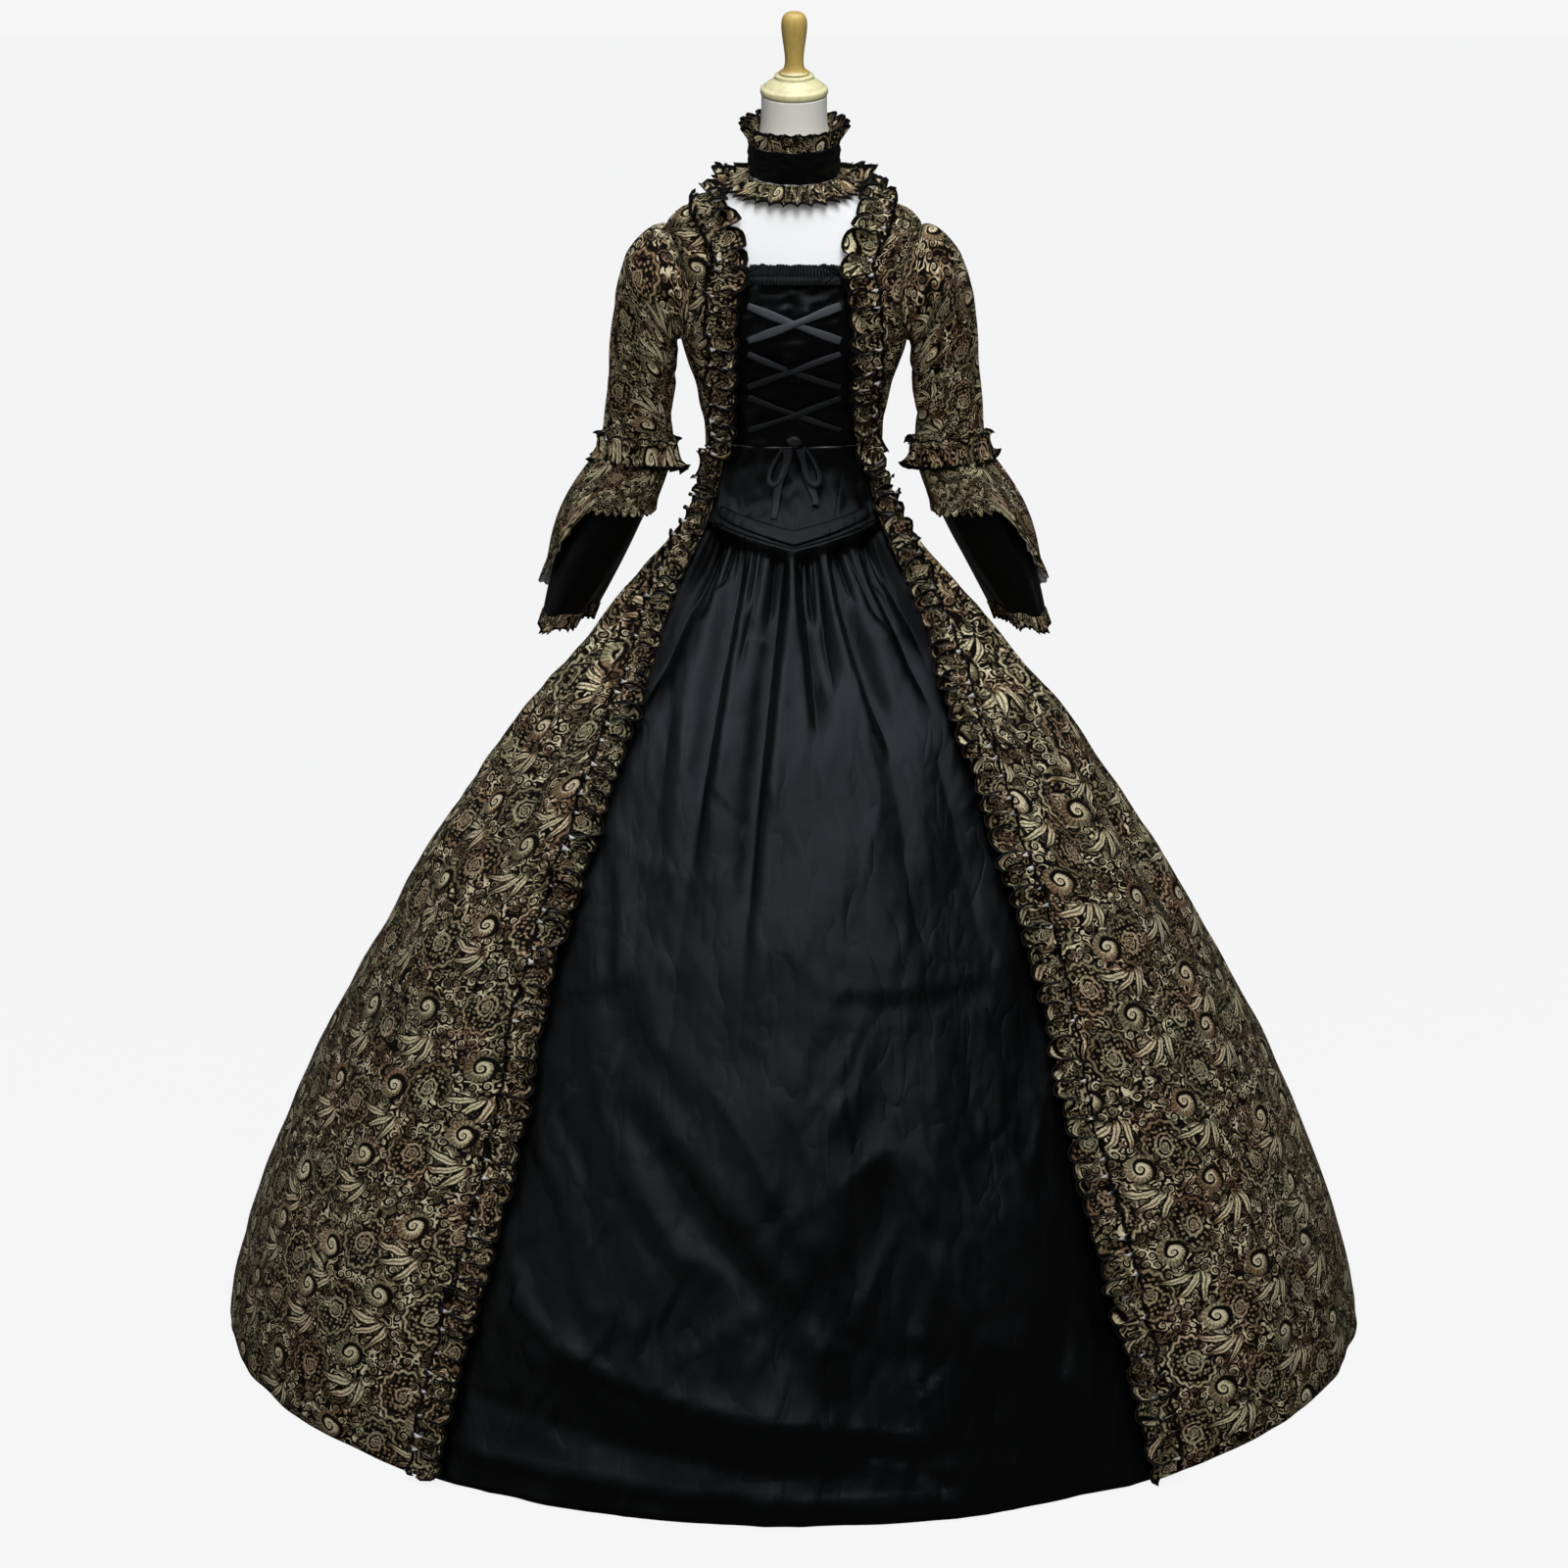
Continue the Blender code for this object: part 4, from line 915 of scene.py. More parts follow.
BACK_PANEL_FOLDS = table(
    "top_at top low_at low depth width",
    (0.07, 1.120, 0.06, 0.60, 0.0080, 0.036),
    (0.19, 1.125, 0.17, 0.42, 0.0110, 0.046),
    (0.31, 1.118, 0.30, 0.62, 0.0085, 0.038),
    (0.43, 1.125, 0.42, 0.36, 0.0115, 0.050),
    (0.55, 1.120, 0.56, 0.58, 0.0090, 0.040),
    (0.68, 1.125, 0.70, 0.40, 0.0110, 0.048),
    (0.80, 1.118, 0.81, 0.60, 0.0085, 0.038),
    (0.92, 1.125, 0.93, 0.46, 0.0100, 0.044),
)
# Folds of the black skirt, in metres to the side and above the floor: first the gathers under the basque,
# then the drags lower down, and last the billow over the hem. A negative depth is a ridge
SKIRT_FOLDS = table(
    "x_start z_start x_end z_end bow depth width lean",
    (-0.098, 1.050, -0.185, 0.860, 0.000, 0.012, 0.013, 0.0),
    (-0.085, 1.045, -0.122, 0.955, 0.004, 0.014, 0.010, 0.2),
    (-0.060, 1.035, -0.120, 0.700, 0.006, 0.017, 0.012, 0.3),
    (-0.036, 1.035, -0.074, 0.880, 0.000, 0.006, 0.010, 0.0),
    (-0.010, 1.028, -0.058, 0.600, 0.004, 0.016, 0.012, 0.3),
    (0.003, 1.024, 0.028, 0.835, -0.003, 0.013, 0.009, -0.2),
    (0.016, 1.028, 0.026, 0.950, 0.000, 0.008, 0.007, 0.0),
    (0.029, 1.030, 0.048, 0.880, 0.002, 0.009, 0.010, 0.0),
    (0.045, 1.035, 0.112, 0.830, 0.006, 0.017, 0.011, -0.3),
    (0.063, 1.038, 0.112, 0.945, 0.000, 0.008, 0.009, 0.0),
    (0.078, 1.044, 0.165, 0.860, -0.004, 0.012, 0.013, -0.2),
    (0.094, 1.050, 0.190, 0.880, 0.000, 0.009, 0.012, 0.0),
    (-0.074, 1.042, -0.100, 0.985, 0.000, 0.009, 0.006, 0.0),
    (-0.048, 1.036, -0.062, 0.965, 0.000, 0.007, 0.006, 0.0),
    (-0.023, 1.030, -0.034, 0.950, 0.000, 0.006, 0.006, 0.0),
    (0.055, 1.036, 0.078, 0.975, 0.000, 0.006, 0.006, 0.0),
    (0.087, 1.048, 0.116, 0.985, 0.000, 0.008, 0.007, 0.0),
    (-0.150, 0.860, -0.185, 0.610, 0.000, 0.005, 0.026, 0.2),
    (-0.118, 0.740, -0.155, 0.480, 0.000, 0.006, 0.028, 0.3),
    (0.020, 0.860, 0.030, 0.640, 0.000, 0.004, 0.022, 0.0),
    (0.108, 0.860, 0.150, 0.600, 0.000, 0.006, 0.030, -0.2),
    (0.176, 0.800, 0.235, 0.560, 0.000, 0.005, 0.024, 0.0),
    (-0.220, 0.680, -0.216, 0.555, 0.000, 0.004, 0.010, 0.6),
    (-0.205, 0.570, -0.155, 0.470, 0.006, 0.0035, 0.018, 0.7),
    (-0.180, 0.430, 0.060, 0.110, -0.012, 0.007, 0.018, 0.8),
    (-0.250, 0.480, -0.140, 0.270, 0.010, 0.004, 0.014, 0.6),
    (-0.330, 0.400, -0.250, 0.230, -0.012, 0.005, 0.016, 0.5),
    (0.040, 0.556, 0.245, 0.562, 0.008, 0.0015, 0.010, 0.8),
    (-0.290, 0.530, -0.190, 0.566, 0.003, 0.0018, 0.010, 0.8),
    (0.100, 0.385, 0.160, 0.300, 0.004, 0.003, 0.014, 0.7),
    (0.060, 0.520, 0.020, 0.360, 0.010, 0.003, 0.020, 0.5),
    (0.150, 0.400, 0.330, 0.190, 0.030, -0.010, 0.036, 0.0),
    (0.110, 0.330, 0.290, 0.110, 0.026, 0.012, 0.028, 0.4),
    (-0.090, 0.300, 0.140, 0.170, 0.016, 0.010, 0.050, 0.2),
    (-0.385, 0.310, -0.240, 0.166, 0.020, -0.012, 0.022, 0.0),
    (-0.270, 0.174, 0.070, 0.104, 0.012, -0.012, 0.022, 0.0),
    (-0.430, 0.118, 0.120, 0.050, 0.012, 0.010, 0.026, 0.0),
    (-0.420, 0.046, 0.180, 0.022, 0.000, -0.010, 0.012, 0.0),
    (0.060, 0.108, 0.170, 0.094, 0.004, -0.007, 0.014, 0.0),
    (0.070, 0.084, 0.180, 0.070, 0.002, 0.009, 0.012, 0.0),
    (0.135, 0.061, 0.190, 0.037, 0.004, 0.007, 0.010, 0.0),
    (0.312, 0.215, 0.286, 0.096, -0.014, 0.009, 0.012, 0.3),
    (0.340, 0.200, 0.330, 0.100, -0.012, -0.006, 0.014, 0.0),
    (0.320, 0.120, 0.392, 0.016, 0.010, 0.008, 0.014, 0.4),
    (0.230, 0.130, 0.300, 0.040, 0.012, 0.006, 0.016, 0.2),
    (0.200, 0.060, 0.400, 0.012, 0.000, -0.005, 0.016, 0.0),
)


# Half of a seam's gap in the bodice and in the skirt; start of the stomacher's sag, its frill's foot and top,
# and the shares of the basque's height between which its band lies
BODICE_GAP = 0.0003
SKIRT_GAP = 0.00003
SAG_START = 1.33
FRILL_FOOT = 1.3385
FRILL_TOP = 1.3640
BASQUE_BAND = (0.03, 0.17)
# Front ruffles: distance of their stitching from the black, step along them, and lowest point
RUFFLE_LINE = 0.023
RUFFLE_STEP = 0.0021
RUFFLE_FLOOR = 0.0015
# Place of the sleeve's heading down the arm, and how much narrower the skirt's cut is than its surface
HEADING_AT = 0.968
NARROWING = 0.84


def armhole_half_turn(z):
    """Half of the armhole's width at a height, as an angle round the body."""
    share = np.clip((z - ARMHOLE_HEIGHT) / ARMHOLE_HALF_HEIGHT, -1.0, 1.0)
    return ARMHOLE_HALF_TURN * np.sqrt(np.clip(1 - share ** 2, 0.0, 1.0))


def bodice_heights(top):
    """Heights of the bodice's rows, closer together where the armhole's oval turns."""
    round_hole = ARMHOLE_HEIGHT - ARMHOLE_HALF_HEIGHT * np.cos(np.linspace(0, HALF_TURN, 27))
    return np.concatenate([np.linspace(WAIST + 0.0002, round_hole[0], 22)[:-1], round_hole,
                           np.linspace(round_hole[-1], top, 9)[1:]])


def make_bodice():
    """Fronts and backs between the front edge, the armhole and the seams, with fine drags."""
    for piece, top in (("front", NECK_EDGE), ("back", BACK_NECK)):
        z = bodice_heights(top)
        gap = BODICE_GAP / curve(ROBE, "back", z)
        if piece == "front":
            turn = between(front_edge(z), QUARTER_TURN - armhole_half_turn(z) - gap, 36)
        else:
            turn = between(QUARTER_TURN + armhole_half_turn(z) + gap, HALF_TURN - gap, 40)
        heights = z[:, None]
        reach = curve(ROBE, "half_width", heights) * turn
        calm = ease((heights - WAIST) / 0.02) * ease((top - heights) / 0.02)
        columns = np.arange(turn.shape[1])
        edge = np.minimum(columns, columns[::-1]) / 5
        seam = -0.0012 * np.exp(-((np.linspace(0, 1, turn.shape[1]) - 0.45) / 0.018) ** 2)
        for side, sign in SIDES:
            drag = 0.0017 * ripple(reach * 2.2, heights, 11 + sign, 0.075)
            lift = (drag * calm + seam) * ease(edge)
            sewn(f"bodice_{piece}_{side}_cloth", mirrored(robe(heights, turn, lift), sign), "scroll_brocade",
                 f"bodice_{piece}_{side}", "stretched", ["form_torso"], flip=sign < 0, **LINED)


def make_stomacher():
    """Black front panel with cross drags, its shirred top band, and the pointed basque with its binding."""
    z = np.linspace(FRONT_WAIST + 0.0004, STOMACHER_TOP, 60)
    edge = front_edge(z) - 0.0006 / curve(ROBE, "back", z)
    turn = between(-edge, edge, 60)
    heights = z[:, None]
    share = np.linspace(-1, 1, 61)
    upper = ease((heights - SAG_START) / 0.03)
    sagged = heights + 0.004 * share ** 2 * upper - 0.004 * upper
    drag = 0.0030 * ripple(share * 0.11, heights * 2.4, 5, 0.05) * ease((1 - np.abs(share)) / 0.2)
    drag = drag - short_creases(0.07 * share, heights, 41, 26, (-0.06, 0.06, 1.15, 1.36)) * 0.5
    sewn("stomacher_cloth", robe(sagged, turn, np.maximum(drag, -0.0026) - 0.0004), "black_taffeta",
         "stomacher", "stretched", ["form_torso"])
    z = np.linspace(FRILL_FOOT, FRILL_TOP, 14)
    edge = turn_at(z, curve(BORDER, "reach", z) - 0.002)
    turn = between(-edge, edge, 190)
    share = np.linspace(-1, 1, 191)
    heights = z[:, None]
    run = (heights - FRILL_FOOT) / (FRILL_TOP - FRILL_FOOT)
    frill = np.sin(FULL_TURN * 15 * share + 1.3 * np.sin(7 * share)) * (0.25 + 0.9 * np.abs(run - 0.45) * 2)
    tunnel = np.exp(-((run - 0.42) / 0.10) ** 2)
    lift = 0.0024 + 0.0010 * frill - 0.0008 * tunnel
    top = 0.0016 * ripple(share * 0.12, 0.0, 8, 0.02) * ease((run - 0.7) / 0.3)
    sewn("stomacher_frill", robe(heights + top, turn, lift), "black_taffeta", "stomacher_band", "gathered",
         ["stomacher_cloth"], wall=BLACK_TRIM_WALL)
    share = np.linspace(-1.0, 1.0, 71)
    step = np.linspace(0.0, 1.0, 40)[:, None]
    lower = BASQUE_POINT + (BASQUE_SIDE - BASQUE_POINT) * np.abs(share)
    z = lower * (1 - step) + (FRONT_WAIST - 0.0004) * step
    turn = share * (front_edge(z) - 0.0012 / curve(ROBE, "front", z))
    free = ease(step / 0.2)
    drag = 0.0022 * ripple(share * 0.16, z * 1.3, 21, 0.05) * ease((1 - np.abs(share)) / 0.15) * free
    drag = drag - short_creases(0.09 * share, z, 43, 22, (-0.08, 0.08, 1.03, 1.14)) * 0.5 * free
    sewn("basque_cloth", robe(z, turn, np.maximum(drag, -0.0030)), "black_taffeta", "basque", "stretched",
         ["form_torso"])
    low, high = BASQUE_BAND
    step = np.linspace(low, high, 9)[:, None]
    z = lower * (1 - step) + FRONT_WAIST * step
    turn = share * turn_at(z, curve(BORDER, "reach", z) - 0.001)
    run = (step - low) / (high - low)
    lift = 0.0016 + 0.0010 * np.sin(HALF_TURN * run) + 0.0003 * ripple(share * 0.16, z, 4, 0.02)
    sewn("basque_band", robe(z, turn, lift), "black_taffeta", "basque_binding", "stretched", ["basque_cloth"],
         wall=BAND_WALL)


def short_creases(x, z, seed, count, box):
    """Seeded short creases of crisp cloth in all directions over a region."""
    draw = np.random.default_rng(seed)
    low_x, high_x, low_z, high_z = box
    start_x, start_z = draw.uniform(low_x, high_x, count), draw.uniform(low_z, high_z, count)
    way, length = draw.uniform(-1.2, 1.2, count), draw.uniform(0.02, 0.11, count)
    columns = (start_x, start_z, start_x + length * np.sin(way), start_z - length * np.cos(way),
               draw.uniform(-0.15, 0.15, count) * length, draw.uniform(0.0012, 0.0045, count),
               draw.uniform(0.004, 0.010, count), draw.uniform(0.3, 0.9, count) * draw.choice([-1, 1], count))
    names = "x_start z_start x_end z_end bow depth width lean"
    return strokes(x, z, table(names, *np.stack(columns, axis=1)))


def make_underskirt():
    """Black skirt: gathers under the basque, slanting drags, short crisp creases and a stitched hem."""
    share = np.linspace(-1.0, 1.0, 205)
    step = np.concatenate([[0.0], np.cumsum(np.linspace(0.35, 1.0, 205) ** 1.2)])
    step = (step / step[-1])[::-1, None]
    side = float(front_edge(BASQUE_SIDE))
    lap = (side + UNDERSKIRT_LAP) / side
    top = BASQUE_POINT + (BASQUE_SIDE - BASQUE_POINT) * np.abs(share * lap) - 0.0004
    z = top * (1 - step) + UNDERSKIRT_HEM * step
    turn = share * (front_edge(z) + UNDERSKIRT_LAP)
    radius = curve(ROBE, "half_width", z)
    x = radius * np.sin(turn)
    even = 1.0 - 0.6 * ease((z - 0.42) / 0.12) * ease((0.95 - z) / 0.10)
    fold = (0.8 + 0.7 * ease((z - 0.72) / 0.12)) * strokes(x, z, SKIRT_FOLDS) \
        + 0.45 * even * short_creases(x, z, 37, 90, (-0.38, 0.38, 0.06, 0.98))
    fine = 0.0016 * np.sin(FULL_TURN * 19 * share + 5.4 * np.sin(6 * share))
    fine = fine * (0.5 + 0.5 * np.sin(11 * share)) ** 2 * ease(step / 0.01) * ease((0.09 - step) / 0.09)
    buckle = 0.0035 * ripple(x * 1.3, z * 0.9, 35, 0.20) * ease(step / 0.3)
    for seed, scale, depth in ((31, 0.17, 0.0050), (32, 0.08, 0.0018), (33, 0.035, 0.0003)):
        drift = 0.3 * scale * ripple(x, z, seed + 10, 2 * scale)
        wrinkle = np.abs(ripple(x * 1.25 + drift, z * 0.8 - drift, seed, scale)) ** 0.8
        buckle = buckle + depth * (0.7 - wrinkle) * ease((step - 0.03) / 0.2) * even
    hem_line = 0.0014 * np.exp(-((z - 0.034) / 0.0022) ** 2)
    inset = UNDERSKIRT_INSET * np.maximum(ease(step / 0.10), ease((np.abs(share) - 0.72) / 0.12))
    lapped = ease((1.0 - np.abs(share)) / 0.1)
    lift = -inset - 0.0035 * ease(step / 0.05) - (fold + hem_line) * ease(step / 0.012) + fine + buckle
    shelter = np.where(np.abs(share) > 0.80, -0.0006 - 0.0045 * ease((np.abs(share) - 0.80) / 0.08), 0.006)
    lift = np.minimum(lift, shelter) * lapped + (1 - lapped) * -0.010
    cut = np.stack([turn * radius, z * 1.2], axis=-1)
    sewn("underskirt_cloth", robe(z, turn, lift), "black_taffeta", "underskirt_front", "gathered",
         ["basque_cloth"], cut=cut, wall=0.0011, flip=True)


def make_overskirt():
    """Open brocade skirt: panels between the front edge and the seams, with uneven falling folds."""
    def panel(start, end, rows, columns, seed):
        """Points of a panel between two lines of azimuths, and its flat cut."""
        z = HEM + (WAIST - 0.0003 - HEM) * np.linspace(0.0, 1.0, 142) ** 0.92
        turn = between(start(z), end(z), columns)
        share = np.linspace(0.0, 1.0, columns + 1)
        heights = z[:, None]
        below = WAIST - heights
        radius = curve(ROBE, "half_width", heights)
        reach = radius * turn
        fold = creases(share + 0 * heights, heights, rows) * ease(below / 0.03)
        fine = 0.0016 * np.sin(FULL_TURN * 26 * share + 2 * np.sin(9 * share))
        fine = fine * ease((heights - 0.99) / 0.12) * ease(below / 0.01)
        swell = 0.0030 * ripple(reach, heights, seed, 0.22) * ease(below / 0.3)
        small = 0.0011 * ripple(reach, heights, seed + 7, 0.07) * ease(below / 0.1)
        hem = 0.0035 * ripple(reach, 0 * heights, seed + 3, 0.12) * ease((0.12 - heights) / 0.12)
        seam = ease(np.minimum(share, 1 - share) / 0.05)
        lift = (-2.0 * fold * ease(share / 0.12) - 0.002 - np.abs(fine) + swell + small + hem) * seam - 0.0004
        lift = np.clip(lift, -0.0026 - 0.10 * below - 0.9 * np.maximum(1.05 - heights, 0), 0.0045)
        middle = (start(z) + end(z))[:, None] / 2
        return robe(heights, turn, lift), grid(NARROWING * radius * (turn - middle), 1.14 * heights)

    def gap(z):
        """Half of a seam's gap as an angle."""
        return SKIRT_GAP / curve(ROBE, "back", z)

    panels = (
        ("", "front", front_edge, lambda z: SIDE_BACK_SEAM - gap(z), SIDE_PANEL_FOLDS, 128, 51, 0.0),
        ("back_", "back", lambda z: SIDE_BACK_SEAM + gap(z), lambda z: HALF_TURN - gap(z),
         BACK_PANEL_FOLDS, 90, 61, 0.37),
    )
    for side, sign in SIDES:
        for part, bodice, start, end, folds, columns, seed, shift in panels:
            points, cut = panel(start, end, folds, columns, seed + sign)
            sewn(f"overskirt_{part}{side}_cloth", mirrored(points, sign), "scroll_brocade",
                 f"overskirt_{part}{side}", "gathered", [f"bodice_{bodice}_{side}_cloth"], cut=cut + shift,
                 flip=sign < 0, **LINED)


def frill_section(reach, curl, rise):
    """Cross-section of a frill from its stitching, as out and up: its angle grows with the distance."""
    steps = np.linspace(0.0, 1.0, reach.shape[-1])
    angle = rise + curl * steps ** 1.3
    length = np.abs(reach[..., -1:]) / (reach.shape[-1] - 1)
    out = np.concatenate([np.zeros_like(angle[..., :1]), np.cumsum(np.cos(angle[..., :-1]), -1)], -1) * length
    up = np.concatenate([np.zeros_like(angle[..., :1]), np.cumsum(np.sin(angle[..., :-1]), -1)], -1) * length
    return out, up


def uneven(draw, run, pitch, low, high):
    """Seeded values that change slowly along a run, with about one turn to each pitch."""
    count = max(int(run[-1] / pitch), 4)
    return np.interp(run, np.linspace(0, run[-1], count), draw.uniform(low, high, count))


def gathered_strip(base, side_way, out_way, along_way, widths, pitch, seed, fullness=1.0, lift=0.0012):
    """Strip gathered along its stitching: both borders stand out and curl in uneven waves of a pitch."""
    run = running(base[None], 1)[0]
    draw = np.random.default_rng(seed)
    phase = FULL_TURN * run / pitch + 2.2 * uneven(draw, run, pitch, -0.9, 0.9)
    steps = np.linspace(0, 1, 9)[None]
    halves = []
    for number, width in enumerate(widths):
        shift = draw.uniform(0, 2) + number * 1.3
        strength = uneven(draw, run, pitch * 0.6, 0.15, 1.0)
        wave = 0.5 + 0.5 * np.sin(phase + shift)
        roll = np.maximum(uneven(draw, run, 3 * pitch, -1.5, 1.0), 0.0)
        curl = 0.05 + fullness * ((4.2 if number == 0 else 2.2) * strength + 2.4 * roll) * wave ** 1.3
        rise = 0.05 + fullness * (0.65 - 0.3 * number) * wave * uneven(draw, run, pitch * 0.8, 0.3, 1.2)
        jag = uneven(draw, run, 0.0042, -1.0, 1.0)
        lobe = uneven(draw, run, 0.030, 0.80, 1.14)
        reach = steps * width * ((0.86 + 0.26 * strength) * lobe + 0.07 * jag)[:, None]
        out, up = frill_section(reach, curl[:, None], rise[:, None])
        slide = fullness * pitch * (0.32 * np.cos(phase + shift) + 0.08 * jag)[:, None] * steps ** 1.2
        halves.append(((-1 if number == 0 else 1) * out, up, slide))
    side, up, slide = (np.concatenate([a[:, ::-1], b[:, 1:]], axis=1) for a, b in zip(*halves))
    across = np.linspace(-1, 1, 17)[None]
    puff = 0.0014 * (1 + np.sin(2 * phase))[:, None] * np.exp(-(across / 0.5) ** 2)
    points = (base[:, None] + side[..., None] * side_way[:, None] + slide[..., None] * along_way[:, None]
              + (up + lift + puff)[..., None] * out_way[:, None])
    cut = grid(sum(widths) * (across + 1) / 2, 1.6 * run[:, None])
    return points.transpose(1, 0, 2), cut.transpose(1, 0, 2) + seed * 0.073, np.abs(across[0])


def make_front_ruffles():
    """Gathered strips over the robe's front edges, from the neck to the waist and from there to the hem."""
    def line_at(z):
        """Azimuth of the stitching."""
        return turn_at(z, curve(BORDER, "reach", z) + RUFFLE_LINE)

    parts = (("bodice", WAIST + 0.001, NECK_EDGE + 0.004, 71), ("skirt", 0.006, WAIST - 0.001, 81))
    for part, low, high, seed in parts:
        dense = np.linspace(low, high, 2400)
        travel = running(robe(dense, line_at(dense))[None], 1)[0]
        z = np.interp(np.linspace(0, travel[-1], int(travel[-1] / RUFFLE_STEP)), travel, dense)
        turn = line_at(z)
        base = robe(z, turn)
        out_way = normal_of(robe_face, z, turn)
        along_way = heading_of(base)
        side_way = np.cross(along_way, out_way)
        side_way *= np.sign(side_way[:, :1])
        for side, sign in SIDES:
            points, cut, edged = gathered_strip(base, side_way, out_way, along_way, (0.026, 0.025), 0.0235,
                                                seed + (sign > 0))
            points[..., 2] = np.maximum(points[..., 2], RUFFLE_FLOOR)
            sewn(f"ruffle_{part}_{side}_frill", mirrored(points, sign), "scroll_brocade",
                 f"ruffle_{part}_{side}", "gathered", [f"overskirt_{side}_cloth"], cut=cut, flip=sign > 0,
                 wall=TRIM_WALL, edged=edged, **LINED, **EDGED)


def make_collar():
    """Ruffle that stands round the back of the neck, from shoulder to shoulder."""
    turn = np.linspace(math.radians(88), math.radians(272), 420)
    base = robe(1.447, turn, 0.0012)
    outward = grid(np.sin(turn), -np.cos(turn), 0.0)
    run = running(base[None], 1)[0]
    draw = np.random.default_rng(91)
    strength = uneven(draw, run, 0.011, 0.3, 1.2)
    phase = FULL_TURN * run / 0.0165 + 1.5 * uneven(draw, run, 0.02, -1, 1)
    jag = uneven(draw, run, 0.0035, -1.0, 1.0)
    steps = np.linspace(0, 1, 13)[:, None]
    ends = 0.6 + 0.4 * ease(np.minimum(turn - turn[0], turn[-1] - turn) / 0.35)
    wave = 0.0072 * strength * np.sin(phase) * steps ** 0.7 * ends
    flare = 0.009 * steps ** 1.5 + wave
    rise = 0.032 * ends * steps * (0.86 + 0.16 * strength + 0.05 * jag) + 0.2 * wave
    slide = 0.0026 * steps * np.cos(phase)
    points = (base + outward * flare[..., None] + rise[..., None] * np.array([0, 0, 1.0])
              + heading_of(base) * slide[..., None])
    cut = grid(1.9 * run[None], 0.034 * steps)
    sewn("collar_frill", points, "scroll_brocade", "collar_ruffle", "gathered", ["bodice_back_left_cloth"],
         cut=cut, wall=TRIM_WALL, edged=steps[:, 0], **EDGED)


# Creases of the left sleeve: places run round it from 0 at the shoulder over the back
SLEEVE_CREASES = table(
    "top_at top low_at low depth width",
    (0.40, 0.98, 0.60, 0.72, 0.0028, 0.030),
    (0.55, 0.80, 0.80, 0.55, 0.0034, 0.034),
    (0.35, 0.66, 0.62, 0.44, 0.0026, 0.030),
    (0.62, 0.52, 0.95, 0.30, 0.0036, 0.040),
    (0.30, 0.40, 0.55, 0.20, 0.0026, 0.032),
    (0.80, 0.90, 1.02, 0.62, 0.0022, 0.030),
    (0.05, 0.62, 0.28, 0.34, 0.0022, 0.036),
)


def make_sleeves():
    """Fitted sleeves with drags round the elbow, and a gathered heading over the seam of the flounces."""
    ring = around(96)[None]
    over, behind = np.cos(ring), np.sin(ring)
    along = np.linspace(1.0, 0.0, 76)[:, None]
    place = ring / FULL_TURN
    fold = creases(place + 0 * along, 1 - along + 0 * place, SLEEVE_CREASES)
    puff = 0.004 * np.exp(-((along - 0.10) / 0.06) ** 2) * np.exp(-((over - 1) / 0.7) ** 2)
    head = 0.0024 * np.sin(17 * ring) * ease((0.2 - along) / 0.2) * ease(along / 0.02) * (over > 0)
    calm = ease(along / 0.03) * ease((1.0 - along) / 0.02)
    cut = grid(np.linspace(0, 0.31, 97)[None], 0.33 * (1 - along)) * np.array([1.2, -1.25]) + 0.03
    turn = HALF_TURN + np.linspace(0.02, FULL_TURN - 0.02, 250)
    base = raised(sleeve_face, HEADING_AT, turn, 0.0022, True)
    out_way = normal_of(sleeve_face, HEADING_AT + 0 * turn, turn, True)
    along_way = heading_of(base)
    down_way = np.cross(out_way, along_way)
    down_way *= np.sign(-down_way[:, 2:])
    for side, sign in SIDES:
        soft = 0.0021 * ripple(0.16 * over + 0.3 * along, 0.16 * behind, 101 + sign, 0.085)
        lift = (soft - fold) * calm + puff + head * np.maximum(over, 0)
        points = raised(sleeve_face, along, ring, np.minimum(lift, 0.004), True)
        sewn(f"sleeve_{side}_cloth", mirrored(points, sign), "scroll_brocade", f"sleeve_{side}", "stretched",
             [f"bodice_front_{side}_cloth"], cut=cut, closed=True, flip=sign < 0, **LINED)
        points, flat, edged = gathered_strip(base, down_way, out_way, along_way, (0.013, 0.030), 0.0175,
                                             111 + sign, 0.50)
        sewn(f"sleeve_{side}_heading", mirrored(points[::-1], sign), "scroll_brocade",
             f"sleeve_ruffle_{side}", "gathered", [f"sleeve_{side}_cloth"], cut=flat[::-1], flip=sign < 0,
             wall=TRIM_WALL, edged=edged, **LINED, **EDGED)


